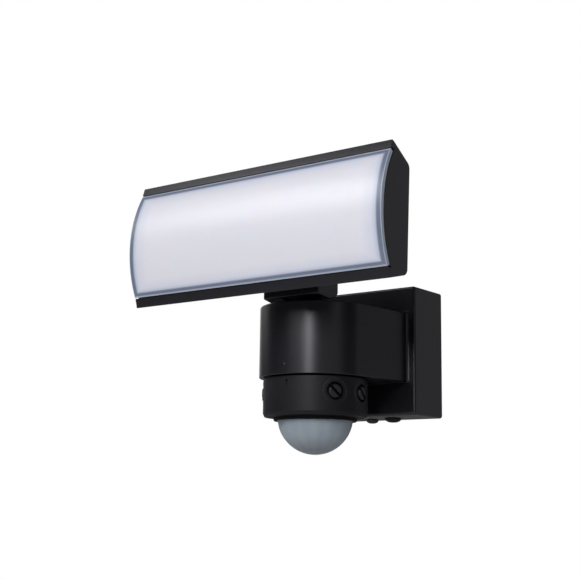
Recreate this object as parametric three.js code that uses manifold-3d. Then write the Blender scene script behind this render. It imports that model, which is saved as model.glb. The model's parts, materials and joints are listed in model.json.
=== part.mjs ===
// Wall-mounted LED floodlight with a motion sensor turret under it.
// Millimetres, +Z up. The wall is the plane Y = 0 and the light faces -Y.
// The origin is the middle of the back of the wall plate.

import * as THREE from "three";
import { mergeVertices } from "three/addons/utils/BufferGeometryUtils.js";
import Module from "manifold-3d";

const wasm = await Module();
wasm.setup();

// ---- Driving dimensions ----

const GAP = 0.3; // clearance between neighbouring pieces
const SKIN = 2.6; // wall thickness of the body moulding

// Wall box at the back of the body moulding
const BOX_WIDTH = 87.5;
const BOX_HEIGHT = 76.9;
const BOX_DEPTH = 31.6;
const BOX_CORNER = 1.6;

// Round body in front of the box, and the flared arm between them
const AXIS_Y = -70.9; // upright axis shared by the round body, the sensor and the head's turret
const BODY_RADIUS = 33;
const BODY_TOP = 22.8;
const BODY_BOTTOM = -18.7;
const ARM_HALF_WIDTH = 38.7; // where the arm meets the box

// Turret that lets the head turn, let into the top of the body
const TURRET_RADIUS = 26.6;
const TURRET_THICK = 2.2;
const TURRET_HUB = 21.6;
const LEDGE_HOLE = 22;
const LEDGE_THICK = 1.7;
const LUG_HALF_WIDTH = 7;
const LUG_RADIUS = 8;

// Tilt axis of the head, along X
const TILT_Y = -86.6;
const TILT_Z = 39;
const BOLT_RADIUS = 2.5;

// Knuckle that joins the head to the turret
const KNUCKLE_HALF_WIDTH = 19.7;
const KNUCKLE_FRONT = -96.7;
const KNUCKLE_BACK = -76.5;
const KNUCKLE_ROUND = 14.2; // radius of its underside about the tilt axis
const FLANGE_HALF_WIDTH = 27;
const FLANGE_BACK = -108.8;
const FLANGE_SCREW_X = 22.8;
const FLANGE_SCREW_Z = 46;
const WIRE_Z = 45.2; // height of the way for the lamp's wires
const WIRE_RADIUS = 2.2;

// Lamp head: the outline of its housing is in the Y-Z plane
const HEAD_HALF_LENGTH = 88.6;
const HEAD_SKIN = 2.2;
const LIP_BOTTOM = { y: -130.8, z: 22.6 };
const LIP_TOP = { y: -132.3, z: 28.1 };
const FLANGE_BOTTOM = { y: -129.4, z: 91.6 };
const RIDGE = { y: -127.8, z: 96.4 };
const DIFFUSER_TOP = { y: -129.2, z: 91.3 };
const DIFFUSER_BOTTOM = { y: -132.6, z: 28.4 };
const DIFFUSER_BULGE = 7.7;
const DIFFUSER_THICK = 2.4;

// Light engine inside the head
const SINK_FRONT = -118.4;
const SINK_BACK = -116;
const SINK_HALF_LENGTH = 82;
const SINK_LOW = 33.5;
const SINK_HIGH = 81;
const LED_BOARD_THICK = 1.6;
const LED_BOARD = { halfLength: 76, z0: 38, z1: 76, screwRoom: 2.4 };
const LED_SIZE = 5;
const LED_HEIGHT = 0.9;
const LED_COLUMNS = 4;
const LED_ROW_HEIGHTS = [47, 67];
const LED_PITCH = 40;

// Motion sensor under the body
const SENSOR_RADIUS = 30.5;
const SENSOR_TOP = -19.3;
const SENSOR_BOTTOM = -41.2;
const SENSOR_SKIN = 2.2;
const SPIGOT_RADIUS = 17.6;
const SPIGOT_TOP = -8;
const SPIGOT_BORE = 14;
const FLOOR_HOLE = 18;
const LENS_RADIUS = 22;
const LENS_CENTRE = -40.6;
const LENS_THICK = 1;
const COLLAR_RADIUS = 24.2;
const COLLAR_BOTTOM = -43.5;

// Three setting knobs round the sensor
const KNOB_AZIMUTHS = [-57, 57, 96]; // degrees from the front, towards +X
const KNOB_Z = -28.1;
const KNOB_RADIUS = 3.8;
const KNOB_HOLE = 5.1;
const KNOB_FACE = 31; // distance of its face from the sensor's axis
const KNOB_SLOT_WIDTH = 1.6;
const KNOB_TURN = 45; // how the slots stand at rest, degrees

// Pieces on the underside of the wall box
const LOCK_SCREW = { x: 0, y: -10, head: 3.8, shank: 1.6, length: 9, hole: 2.3 };
const GLAND = { x: 18.5, y: -15.5, hole: 4.2, neck: 3.9, brim: 5.2, catch: 5 };
const UNDERSIDE_DROP = 2.4;

// Rubber ring between the body's floor and the turning sensor
const SENSOR_SEAL = { inner: 21.3, outer: 24.7, groove: 1.2 };

// Wall plate: three slots for wall screws, a knock-out for the cable and a lug for the lock screw
const PLATE_THICK = 3;
const PLATE_CORNER = 3;
const PLATE_MARGIN = 0.9;
const WALL_SLOT = { width: 4.6, travel: 5 };
const WALL_SLOT_PLACES = [{ x: -30, z: 0 }, { x: 30, z: 0 }, { x: 0, z: -23 }];
const KNOCK_OUT = { z: 20, outer: 8, inner: 7, depth: 1.6 };
const PLATE_LUG = { halfWidth: 6, front: -15, height: 5 };
const PLATE_SEAL = { thick: 1.3, sideWidth: 2.2, endWidth: 5.6 };

// Mains pieces inside the wall box
const TERMINALS = { x0: -34, x1: -4, back: -5.2, step: -12, front: -17, z0: 4, z1: 20 };
const TERMINAL_WAYS = [-29, -19, -9];
const TERMINAL_HALF = 3.6;
const DRIVER_BOARD = { x0: -32, x1: 34, y0: -21, y1: -19.4, z0: -30, z1: -2 };
const BOARD_HOLE = { inset: 4, radius: 1.6 };
const TRANSFORMER_CORE = { x0: -14, x1: 2, deep: 12, z0: -24, z1: -9 };
const TRANSFORMER_WINDING = { x0: -11, x1: -1, inset: 1, z0: -26, z1: -7 };
const CAPACITOR = { radius: 5, x0: 7, x1: 22, z: -16 };

// ---- Materials ----

function finish(color, roughness, metalness) {
  return new THREE.MeshStandardMaterial({ color, roughness, metalness });
}

const blackPlastic = finish(0x17171a, 0.5, 0);
const darkPlastic = finish(0x101012, 0.6, 0);
const milkyCover = finish(0xf1f0f7, 0.35, 0);
const milkyLens = finish(0xc9d2d8, 0.3, 0);
const whitePlastic = finish(0xf4f4f2, 0.5, 0);
const boardGreen = finish(0x1f5a3a, 0.55, 0);
const ledYellow = finish(0xf2d873, 0.4, 0);
const rubber = finish(0x1b1b1b, 0.9, 0);
const steel = finish(0xa9abac, 0.35, 1);
const aluminium = finish(0xc4c6c8, 0.4, 1);
const blueSleeve = finish(0x23365e, 0.4, 0);
const potBlue = finish(0x2c4c8c, 0.5, 0);

// ---- Solid helpers ----

// Turns a closed three.js geometry into a solid, with its faces pointing out.
function solidOf(geometry) {
  const bare = geometry.clone();
  bare.deleteAttribute("normal");
  bare.deleteAttribute("uv");
  const merged = mergeVertices(bare, 1e-4);
  const points = merged.attributes.position.array;
  const corners = merged.index.array;
  const a = new THREE.Vector3();
  const b = new THREE.Vector3();
  const c = new THREE.Vector3();
  const kept = [];
  let volume = 0;
  for (let i = 0; i < corners.length; i += 3) {
    const [p, q, r] = [corners[i], corners[i + 1], corners[i + 2]];
    if (p === q || q === r || r === p) continue;
    kept.push(p, q, r);
    a.fromArray(points, 3 * p);
    b.fromArray(points, 3 * q);
    c.fromArray(points, 3 * r);
    volume += a.dot(b.cross(c));
  }
  const triVerts = new Uint32Array(kept);
  if (volume < 0) triVerts.reverse();
  const vertProperties = new Float32Array(points);
  return new wasm.Manifold(new wasm.Mesh({ numProp: 3, vertProperties, triVerts }));
}

function geometryOf(solid) {
  const mesh = solid.getMesh();
  const geometry = new THREE.BufferGeometry();
  geometry.setAttribute("position", new THREE.BufferAttribute(new Float32Array(mesh.vertProperties), 3));
  geometry.setIndex(new THREE.BufferAttribute(new Uint32Array(mesh.triVerts), 1));
  geometry.computeVertexNormals();
  return geometry;
}

function piece(name, solid, material) {
  const mesh = new THREE.Mesh(geometryOf(solid), material.clone());
  mesh.name = name;
  return mesh;
}

const joined = (...solids) => solids.reduce((whole, next) => whole.add(next));
const cut = (solid, ...tools) => tools.reduce((whole, next) => whole.subtract(next), solid);

// Box between two corners.
function block(x0, x1, y0, y1, z0, z1) {
  const geometry = new THREE.BoxGeometry(x1 - x0, y1 - y0, z1 - z0);
  geometry.translate((x0 + x1) / 2, (y0 + y1) / 2, (z0 + z1) / 2);
  return solidOf(geometry);
}

// Round bar along Z, from z0 to z1.
function upright(x, y, radius, z0, z1, sides = 24) {
  const geometry = new THREE.CylinderGeometry(radius, radius, z1 - z0, sides);
  geometry.rotateX(Math.PI / 2);
  geometry.translate(x, y, (z0 + z1) / 2);
  return solidOf(geometry);
}

// Round bar along Y, from y0 to y1.
function level(x, z, radius, y0, y1, sides = 24) {
  const geometry = new THREE.CylinderGeometry(radius, radius, y1 - y0, sides);
  geometry.translate(x, (y0 + y1) / 2, z);
  return solidOf(geometry);
}

// Round bar along X, from x0 to x1.
function crosswise(y, z, radius, x0, x1, sides = 24) {
  const geometry = new THREE.CylinderGeometry(radius, radius, x1 - x0, sides);
  geometry.rotateZ(Math.PI / 2);
  geometry.translate((x0 + x1) / 2, y, z);
  return solidOf(geometry);
}

// Solid of revolution about Z from a closed outline of [radius, z].
function turned(outline, sides = 32) {
  const points = outline.map(([r, z]) => new THREE.Vector2(r, z));
  points.push(points[0].clone());
  const geometry = new THREE.LatheGeometry(points, sides);
  geometry.rotateX(Math.PI / 2);
  return solidOf(geometry);
}

// Bar along X whose section is a shape drawn in the Y-Z plane.
function barAlongX(shape, x0, x1, curveSegments = 8) {
  const geometry = new THREE.ExtrudeGeometry(shape, { depth: x1 - x0, bevelEnabled: false, curveSegments });
  const toYZ = new THREE.Matrix4().makeBasis(
    new THREE.Vector3(0, 1, 0),
    new THREE.Vector3(0, 0, 1),
    new THREE.Vector3(1, 0, 0),
  );
  geometry.applyMatrix4(toYZ);
  geometry.translate(x0, 0, 0);
  return solidOf(geometry);
}

// Plate drawn in the X-Z plane, from y0 back to y1.
function plateAlongY(shape, y0, y1, curveSegments = 3) {
  const geometry = new THREE.ExtrudeGeometry(shape, { depth: y1 - y0, bevelEnabled: false, curveSegments });
  geometry.rotateX(Math.PI / 2);
  geometry.translate(0, y1, 0);
  return solidOf(geometry);
}

// Plate drawn in plan, from z0 up to z1.
function plateAlongZ(shape, z0, z1, curveSegments = 32) {
  const geometry = new THREE.ExtrudeGeometry(shape, { depth: z1 - z0, bevelEnabled: false, curveSegments });
  geometry.translate(0, 0, z0);
  return solidOf(geometry);
}

function polygon(points) {
  return new THREE.Shape(points.map(([u, v]) => new THREE.Vector2(u, v)));
}

function roundedRectangle(halfWidth, halfHeight, corner) {
  const shape = new THREE.Shape();
  shape.moveTo(-halfWidth + corner, -halfHeight);
  shape.lineTo(halfWidth - corner, -halfHeight);
  shape.absarc(halfWidth - corner, -halfHeight + corner, corner, -Math.PI / 2, 0);
  shape.lineTo(halfWidth, halfHeight - corner);
  shape.absarc(halfWidth - corner, halfHeight - corner, corner, 0, Math.PI / 2);
  shape.lineTo(-halfWidth + corner, halfHeight);
  shape.absarc(-halfWidth + corner, halfHeight - corner, corner, Math.PI / 2, Math.PI);
  shape.lineTo(-halfWidth, -halfHeight + corner);
  shape.absarc(-halfWidth + corner, -halfHeight + corner, corner, Math.PI, 1.5 * Math.PI);
  return shape;
}

// Screw along Z with its head downwards: head from headLow, shank up to shankTop.
function screwUpwards(headLow, headRadius, headHigh, shankRadius, shankTop) {
  const outline = [
    [0, headLow],
    [headRadius * 0.8, headLow],
    [headRadius, headLow + 0.3 * (headHigh - headLow)],
    [headRadius, headHigh],
    [shankRadius, headHigh],
    [shankRadius, shankTop],
    [0, shankTop],
  ];
  return turned(outline, 16);
}

// ---- Body moulding: wall box, flared arm and round body in one ----

// Plan of the round body with the arm, drawn inset from its outer faces.
function bodyPlan(inset, backY) {
  const radius = BODY_RADIUS - inset;
  const half = ARM_HALF_WIDTH - inset;
  const front = Math.atan2(half, backY - AXIS_Y);
  const reach = Math.hypot(half, backY - AXIS_Y);
  const touch = front + Math.acos(radius / reach); // where the arm's side leaves the circle, from +Y
  const start = Math.PI / 2 - touch;
  const shape = new THREE.Shape();
  shape.moveTo(half, backY);
  shape.lineTo(-half, backY);
  shape.lineTo(-radius * Math.cos(start), AXIS_Y + radius * Math.sin(start));
  shape.absarc(0, AXIS_Y, radius, Math.PI - start, 2 * Math.PI + start, false);
  return shape;
}

function bodyShell() {
  const halfWidth = BOX_WIDTH / 2;
  const halfHeight = BOX_HEIGHT / 2;
  const roof = TURRET_THICK + GAP + LEDGE_THICK;
  const box = plateAlongY(roundedRectangle(halfWidth, halfHeight, BOX_CORNER), -BOX_DEPTH, 0);
  const roomHalf = { x: halfWidth - SKIN, z: halfHeight - SKIN };
  const roomFront = -BOX_DEPTH + SKIN;
  const boxRoom = block(-roomHalf.x, roomHalf.x, roomFront, 1, -roomHalf.z, roomHalf.z);
  const arm = plateAlongZ(bodyPlan(0, -BOX_DEPTH + 1), BODY_BOTTOM, BODY_TOP);
  const armRoom = plateAlongZ(bodyPlan(SKIN, roomFront + 1), BODY_BOTTOM + SKIN, BODY_TOP - roof);
  const recessFloor = BODY_TOP - TURRET_THICK - GAP;
  const turretRecess = upright(0, AXIS_Y, TURRET_RADIUS + GAP, recessFloor, BODY_TOP + 1, 36);
  const ledgeHole = upright(0, AXIS_Y, LEDGE_HOLE, BODY_TOP - roof - 1, BODY_TOP, 32);
  const floorHole = upright(0, AXIS_Y, FLOOR_HOLE, BODY_BOTTOM - 1, BODY_BOTTOM + SKIN + 1, 32);
  const sealGroove = sensorSealRing(GAP, BODY_BOTTOM - 1, BODY_BOTTOM + SENSOR_SEAL.groove);
  const under = -halfHeight - 1;
  const screwHole = upright(LOCK_SCREW.x, LOCK_SCREW.y, LOCK_SCREW.hole, under, under + SKIN + 2, 16);
  const glandHole = upright(GLAND.x, GLAND.y, GLAND.hole, under, under + SKIN + 2, 16);
  return cut(
    joined(box, arm),
    boxRoom,
    armRoom,
    turretRecess,
    ledgeHole,
    floorHole,
    sealGroove,
    screwHole,
    glandHole,
  );
}

// Ring between the body's floor and the sensor's top, grown sideways by the given margin.
function sensorSealRing(margin, z0, z1) {
  const inner = SENSOR_SEAL.inner - margin;
  const outer = SENSOR_SEAL.outer + margin;
  const ring = turned([[inner, z0], [outer, z0], [outer, z1], [inner, z1]]);
  return ring.translate([0, AXIS_Y, 0]);
}

// ---- Pieces behind and inside the wall box ----

const PLATE_HALF_WIDTH = BOX_WIDTH / 2 - SKIN - PLATE_MARGIN;
const PLATE_HALF_HEIGHT = BOX_HEIGHT / 2 - SKIN - PLATE_MARGIN;

// Upright slot for a wall screw, right through the plate.
function wallSlot({ x, z }) {
  const half = WALL_SLOT.width / 2;
  const low = z - WALL_SLOT.travel / 2;
  const high = z + WALL_SLOT.travel / 2;
  const front = -PLATE_THICK - 1;
  const ends = [low, high].map((height) => level(x, height, half, front, 1, 12));
  return joined(...ends, block(x - half, x + half, front, 1, low, high));
}

function wallPlate() {
  const low = -PLATE_HALF_HEIGHT;
  const outline = roundedRectangle(PLATE_HALF_WIDTH, PLATE_HALF_HEIGHT, PLATE_CORNER);
  const plate = plateAlongY(outline, -PLATE_THICK, 0);
  const { halfWidth, front, height } = PLATE_LUG;
  const lug = block(-halfWidth, halfWidth, front, -PLATE_THICK + 0.5, low, low + height);
  const tapping = upright(LOCK_SCREW.x, LOCK_SCREW.y, LOCK_SCREW.shank + GAP, low - 1, low + height + 1, 12);
  const grooveFront = -PLATE_THICK - 1;
  const grooveFloor = -PLATE_THICK + KNOCK_OUT.depth;
  const knockOut = cut(
    level(0, KNOCK_OUT.z, KNOCK_OUT.outer, grooveFront, grooveFloor, 20),
    level(0, KNOCK_OUT.z, KNOCK_OUT.inner, grooveFront, grooveFloor, 20),
  );
  return cut(joined(plate, lug), tapping, knockOut, ...WALL_SLOT_PLACES.map(wallSlot));
}

// Frame of soft foam round the front of the plate, with a gap for the lug.
function plateSeal() {
  const back = -PLATE_THICK - GAP;
  const front = back - PLATE_SEAL.thick;
  const innerHalfWidth = PLATE_HALF_WIDTH - PLATE_SEAL.sideWidth;
  const innerHalfHeight = PLATE_HALF_HEIGHT - PLATE_SEAL.endWidth;
  const outline = roundedRectangle(PLATE_HALF_WIDTH, PLATE_HALF_HEIGHT, PLATE_CORNER);
  const opening = roundedRectangle(innerHalfWidth, innerHalfHeight, PLATE_CORNER);
  const outer = plateAlongY(outline, front, back);
  const inner = plateAlongY(opening, front - 1, back + 1);
  const lugHalf = PLATE_LUG.halfWidth + GAP;
  const lugTop = -PLATE_HALF_HEIGHT + PLATE_LUG.height + GAP;
  const lugRoom = block(-lugHalf, lugHalf, front - 1, back + 1, -PLATE_HALF_HEIGHT - 1, lugTop);
  return cut(outer, inner, lugRoom);
}

function lockScrew() {
  const box = -BOX_HEIGHT / 2;
  const low = box - UNDERSIDE_DROP;
  const screw = screwUpwards(low, LOCK_SCREW.head, box - GAP, LOCK_SCREW.shank, box + LOCK_SCREW.length);
  const slot = block(-LOCK_SCREW.head - 1, LOCK_SCREW.head + 1, -0.5, 0.5, low - 1, low + 0.9);
  return cut(screw, slot).translate([LOCK_SCREW.x, LOCK_SCREW.y, 0]);
}

// Rubber bush with a closed membrane: the mains cable is pushed through it when it is wired.
function cableGland() {
  const box = -BOX_HEIGHT / 2;
  const crown = box - UNDERSIDE_DROP - 0.4;
  const membrane = box - UNDERSIDE_DROP + 1.2;
  const inside = box + SKIN + GAP;
  const top = inside + 1.4;
  const outline = [
    [0, membrane],
    [GLAND.brim / 2, membrane],
    [GLAND.brim / 2 + 0.4, crown],
    [GLAND.brim - 1, crown],
    [GLAND.brim, box - GAP - 0.8],
    [GLAND.brim, box - GAP],
    [GLAND.neck, box - GAP],
    [GLAND.neck, inside],
    [GLAND.catch, inside],
    [GLAND.catch - 0.6, top],
    [0, top],
  ];
  return turned(outline, 18).translate([GLAND.x, GLAND.y, 0]);
}

// Three-way screw terminal: a low base with a tower, a screw and a wire hole for each way.
function terminalBlock() {
  const { x0, x1, back, step, front, z0, z1 } = TERMINALS;
  const middle = (z0 + z1) / 2;
  const base = block(x0, x1, step, back, z0, z1);
  const towers = TERMINAL_WAYS.map((x) => {
    return block(x - TERMINAL_HALF, x + TERMINAL_HALF, front, step + 0.5, z0, z1);
  });
  const screws = TERMINAL_WAYS.map((x) => level(x, middle, 2, front - 1, front + 2.5, 10));
  const wireHoles = TERMINAL_WAYS.map((x) => upright(x, (step + back) / 2, 1.8, z0 - 1, z0 + 4, 10));
  return cut(joined(base, ...towers), ...screws, ...wireHoles);
}

function driverBoard() {
  const { x0, x1, y0, y1, z0, z1 } = DRIVER_BOARD;
  const { inset, radius } = BOARD_HOLE;
  const holes = [x0 + inset, x1 - inset].map((x) => level(x, z1 - inset, radius, y0 - 1, y1 + 1, 10));
  return cut(block(x0, x1, y0, y1, z0, z1), ...holes);
}

function driverTransformer() {
  const low = DRIVER_BOARD.y1 + GAP;
  const high = low + TRANSFORMER_CORE.deep;
  const core = TRANSFORMER_CORE;
  const winding = TRANSFORMER_WINDING;
  return joined(
    block(core.x0, core.x1, low, high, core.z0, core.z1),
    block(winding.x0, winding.x1, low + winding.inset, high - winding.inset, winding.z0, winding.z1),
  );
}

function driverCapacitor() {
  const y = DRIVER_BOARD.y1 + GAP + CAPACITOR.radius + 0.2;
  return crosswise(y, CAPACITOR.z, CAPACITOR.radius, CAPACITOR.x0, CAPACITOR.x1, 16);
}

function wallBoxPieces() {
  const group = new THREE.Group();
  group.add(piece("body_shell", bodyShell(), blackPlastic));
  group.add(piece("wall_plate", wallPlate(), darkPlastic));
  group.add(piece("plate_seal", plateSeal(), rubber));
  group.add(piece("base_lock_screw", lockScrew(), steel));
  group.add(piece("cable_gland", cableGland(), rubber));
  group.add(piece("terminal_block", terminalBlock(), whitePlastic));
  group.add(piece("driver_board", driverBoard(), boardGreen));
  group.add(piece("driver_transformer", driverTransformer(), darkPlastic));
  group.add(piece("driver_capacitor", driverCapacitor(), blueSleeve));
  const seal = sensorSealRing(0, SENSOR_TOP + GAP, BODY_BOTTOM + SENSOR_SEAL.groove - GAP);
  group.add(piece("sensor_seal", seal, rubber));
  return group;
}

// ---- Turret in the top of the body: it turns about the upright axis ----

const TURRET_UNDER = BODY_TOP - TURRET_THICK;
const LEDGE_UNDER = BODY_TOP - TURRET_THICK - GAP - LEDGE_THICK;
const PAN_WASHER_THICK = 0.9;
const PAN_CLIP_THICK = 1.5;
const PAN_CLIP_TOP = LEDGE_UNDER - 2 * GAP - PAN_WASHER_THICK;
const PAN_GROOVE_DEPTH = 1.6;
const PAN_WASHER_RADIUS = 26.5;
const PAN_CLIP_RADIUS = 25.4;
const CLIP_MOUTH_HALF = 2;

// Side view of the lug: round about the tilt axis, with its front face leaning back
// so that the knuckle's front wall clears it when the head looks down.
function lugShape() {
  const foot = TURRET_UNDER + 0.5;
  const shape = new THREE.Shape();
  shape.moveTo(TILT_Y + LUG_RADIUS, foot);
  shape.lineTo(TILT_Y + LUG_RADIUS, TILT_Z);
  shape.absarc(TILT_Y, TILT_Z, LUG_RADIUS, 0, 1.15 * Math.PI, false);
  shape.lineTo(TILT_Y - 1.4, foot);
  return shape;
}

function panTurret() {
  const grooveTop = PAN_CLIP_TOP + GAP;
  const grooveLow = PAN_CLIP_TOP - PAN_CLIP_THICK - GAP;
  const low = grooveLow - 1.7;
  const neck = TURRET_HUB - PAN_GROOVE_DEPTH;
  const bore = TURRET_HUB - 3.8;
  const outline = [
    [0, BODY_TOP],
    [TURRET_RADIUS, BODY_TOP],
    [TURRET_RADIUS, TURRET_UNDER],
    [TURRET_HUB, TURRET_UNDER],
    [TURRET_HUB, grooveTop],
    [neck, grooveTop],
    [neck, grooveLow],
    [TURRET_HUB, grooveLow],
    [TURRET_HUB, low],
    [bore, low],
    [bore, TURRET_UNDER],
    [0, TURRET_UNDER],
  ];
  const disc = turned(outline, 36).translate([0, AXIS_Y, 0]);
  const lug = barAlongX(lugShape(), -LUG_HALF_WIDTH, LUG_HALF_WIDTH, 12);
  const boltHole = crosswise(TILT_Y, TILT_Z, BOLT_RADIUS + GAP, -20, 20, 20);
  const wireWay = upright(0, TILT_Y + LUG_RADIUS / 2 + 1.2, 1.7, TURRET_UNDER - 1, TILT_Z + 10, 12);
  return cut(joined(disc, lug), boltHole, wireWay);
}

function ringAboutAxis(inner, outer, z0, z1, sides = 32) {
  return turned([[inner, z0], [outer, z0], [outer, z1], [inner, z1]], sides).translate([0, AXIS_Y, 0]);
}

function turretPieces() {
  const group = new THREE.Group();
  const washerTop = LEDGE_UNDER - GAP;
  const washerLow = washerTop - PAN_WASHER_THICK;
  const washer = ringAboutAxis(TURRET_HUB + GAP, PAN_WASHER_RADIUS, washerLow, washerTop);
  const clipInner = TURRET_HUB - PAN_GROOVE_DEPTH + GAP;
  const clipLow = PAN_CLIP_TOP - PAN_CLIP_THICK;
  const clip = ringAboutAxis(clipInner, PAN_CLIP_RADIUS, clipLow, PAN_CLIP_TOP);
  const mouthEnd = AXIS_Y + PAN_CLIP_RADIUS + 1;
  const clipMouth = block(-CLIP_MOUTH_HALF, CLIP_MOUTH_HALF, AXIS_Y, mouthEnd, clipLow - 1, PAN_CLIP_TOP + 1);
  group.add(piece("pan_turret", panTurret(), blackPlastic));
  group.add(piece("pan_friction_washer", washer, darkPlastic));
  group.add(piece("pan_retaining_clip", cut(clip, clipMouth), steel));
  return group;
}

// ---- Lamp head ----

// Back of the head housing: it leans a little, so its place depends on the height.
const BACK_LOW = { y: -113.1, z: 29.3 };
const BACK_HIGH = { y: -110.6, z: 84 };
const BACK_LEAN = (BACK_HIGH.y - BACK_LOW.y) / (BACK_HIGH.z - BACK_LOW.z);
const backAt = (z) => BACK_LOW.y + BACK_LEAN * (z - BACK_LOW.z);

// Arc that bulges towards -Y between two points of the Y-Z plane.
function bulge(top, bottom, rise) {
  const half = Math.hypot(top.y - bottom.y, top.z - bottom.z) / 2;
  const radius = (half * half + rise * rise) / (2 * rise);
  const along = { y: (top.y - bottom.y) / (2 * half), z: (top.z - bottom.z) / (2 * half) };
  const middle = { y: (top.y + bottom.y) / 2, z: (top.z + bottom.z) / 2 };
  const centre = { y: middle.y + along.z * (radius - rise), z: middle.z - along.y * (radius - rise) };
  const angle = (point) => Math.atan2(point.z - centre.z, point.y - centre.y);
  const turn = 2 * Math.PI;
  return { centre, radius, from: (angle(top) + turn) % turn, to: (angle(bottom) + turn) % turn };
}

const FACE = bulge(DIFFUSER_TOP, DIFFUSER_BOTTOM, DIFFUSER_BULGE);

// Corners of the housing's outline behind its rim, from the underside round to the top.
const HEAD_FOOT = { y: -116.2, z: 26.2 };
const HEAD_SHOULDER = { y: -112.6, z: 87.6 };
const HEAD_BROW = { y: -123.2, z: 94.1 };
const RIM_TOP_Y = -126; // where the flange's underside meets the diffuser's seat
const RIM_FOOT_Y = -129; // where the lip meets the seat

function housingShape() {
  const seat = FACE.radius - DIFFUSER_THICK - GAP;
  const shape = new THREE.Shape();
  shape.moveTo(LIP_BOTTOM.y, LIP_BOTTOM.z);
  shape.lineTo(HEAD_FOOT.y, HEAD_FOOT.z);
  shape.quadraticCurveTo(BACK_LOW.y - 0.8, HEAD_FOOT.z + 0.6, BACK_LOW.y, BACK_LOW.z);
  shape.lineTo(BACK_HIGH.y, BACK_HIGH.z);
  shape.quadraticCurveTo(BACK_HIGH.y + 0.1, HEAD_SHOULDER.z - 1.2, HEAD_SHOULDER.y, HEAD_SHOULDER.z);
  shape.lineTo(HEAD_BROW.y, HEAD_BROW.z);
  shape.quadraticCurveTo(RIDGE.y + 1.2, RIDGE.z, RIDGE.y, RIDGE.z);
  shape.lineTo(FLANGE_BOTTOM.y, FLANGE_BOTTOM.z);
  shape.lineTo(RIM_TOP_Y, FLANGE_BOTTOM.z);
  shape.absarc(FACE.centre.y, FACE.centre.z, seat, FACE.from, FACE.to, false);
  shape.lineTo(RIM_FOOT_Y, LIP_TOP.z);
  shape.lineTo(LIP_TOP.y, LIP_TOP.z);
  return shape;
}

// Inside of the housing: open at the front, with the back wall as thick as the skin.
function headRoomShape() {
  const low = SINK_LOW - 1.5;
  const high = SINK_HIGH + 1;
  const open = DIFFUSER_BOTTOM.y - 2 * DIFFUSER_BULGE;
  return polygon([
    [open, LIP_TOP.z],
    [RIM_FOOT_Y, LIP_TOP.z],
    [HEAD_FOOT.y - 0.8, LIP_TOP.z + 0.9],
    [backAt(low) - HEAD_SKIN, low],
    [backAt(high) - HEAD_SKIN, high],
    [HEAD_SHOULDER.y - 2, HEAD_SHOULDER.z - 1.8],
    [HEAD_BROW.y - 0.8, FLANGE_BOTTOM.z],
    [open, FLANGE_BOTTOM.z],
  ]);
}

const flangeScrewXs = [-FLANGE_SCREW_X, FLANGE_SCREW_X];
const FLANGE_SCREW_HOLE = 1.9;
const FLANGE_SCREW_SHANK = 1.4;
const HEAD_CUT_FRONT = SINK_FRONT - 1.6; // cutters through the back of the head start here
const HEAD_CUT_BACK = FLANGE_BACK + 0.8;

function headHousing() {
  const outside = barAlongX(housingShape(), -HEAD_HALF_LENGTH, HEAD_HALF_LENGTH, 10);
  const room = barAlongX(headRoomShape(), -HEAD_HALF_LENGTH + HEAD_SKIN, HEAD_HALF_LENGTH - HEAD_SKIN);
  const holes = flangeScrewXs.map((x) => {
    return level(x, FLANGE_SCREW_Z, FLANGE_SCREW_HOLE, HEAD_CUT_FRONT, HEAD_CUT_BACK, 14);
  });
  const wireHole = level(0, WIRE_Z, WIRE_RADIUS, HEAD_CUT_FRONT, HEAD_CUT_BACK, 12);
  return cut(outside, room, ...holes, wireHole);
}

function diffuser() {
  const shape = new THREE.Shape();
  shape.absarc(FACE.centre.y, FACE.centre.z, FACE.radius, FACE.from, FACE.to, false);
  shape.absarc(FACE.centre.y, FACE.centre.z, FACE.radius - DIFFUSER_THICK, FACE.to, FACE.from, true);
  return barAlongX(shape, -HEAD_HALF_LENGTH, HEAD_HALF_LENGTH, 18);
}

const SEAL_END_ANGLE = 0.03; // how far the cord stops short of the diffuser's edges, radians

// Rubber cord that runs round inside the rim, behind the edge of the diffuser.
function diffuserSeal() {
  const outerX = HEAD_HALF_LENGTH - HEAD_SKIN - GAP;
  const thick = 1.6;
  const innerX = outerX - thick;
  const front = FACE.radius - DIFFUSER_THICK - GAP;
  const from = FACE.from + SEAL_END_ANGLE;
  const to = FACE.to - SEAL_END_ANGLE;
  const band = new THREE.Shape();
  band.absarc(FACE.centre.y, FACE.centre.z, front, from, to, false);
  band.absarc(FACE.centre.y, FACE.centre.z, front - thick, to, from, true);
  const sheet = barAlongX(band, -outerX, outerX, 10);
  const low = DIFFUSER_BOTTOM.z + 4;
  const high = DIFFUSER_TOP.z - 4.3;
  const window = block(-innerX, innerX, DIFFUSER_BOTTOM.y - DIFFUSER_BULGE, SINK_FRONT, low, high);
  return cut(sheet, window);
}

function heatSink() {
  const plate = block(-SINK_HALF_LENGTH, SINK_HALF_LENGTH, SINK_FRONT, SINK_BACK, SINK_LOW, SINK_HIGH);
  const holes = flangeScrewXs.map((x) => {
    return level(x, FLANGE_SCREW_Z, FLANGE_SCREW_SHANK + GAP, SINK_FRONT - 1, SINK_BACK + 1, 14);
  });
  const wireHole = level(0, WIRE_Z, WIRE_RADIUS, SINK_FRONT - 1, SINK_BACK + 1, 12);
  return cut(plate, ...holes, wireHole);
}

const LED_BOARD_BACK = SINK_FRONT - GAP;
const LED_BOARD_FRONT = LED_BOARD_BACK - LED_BOARD_THICK;

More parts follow.
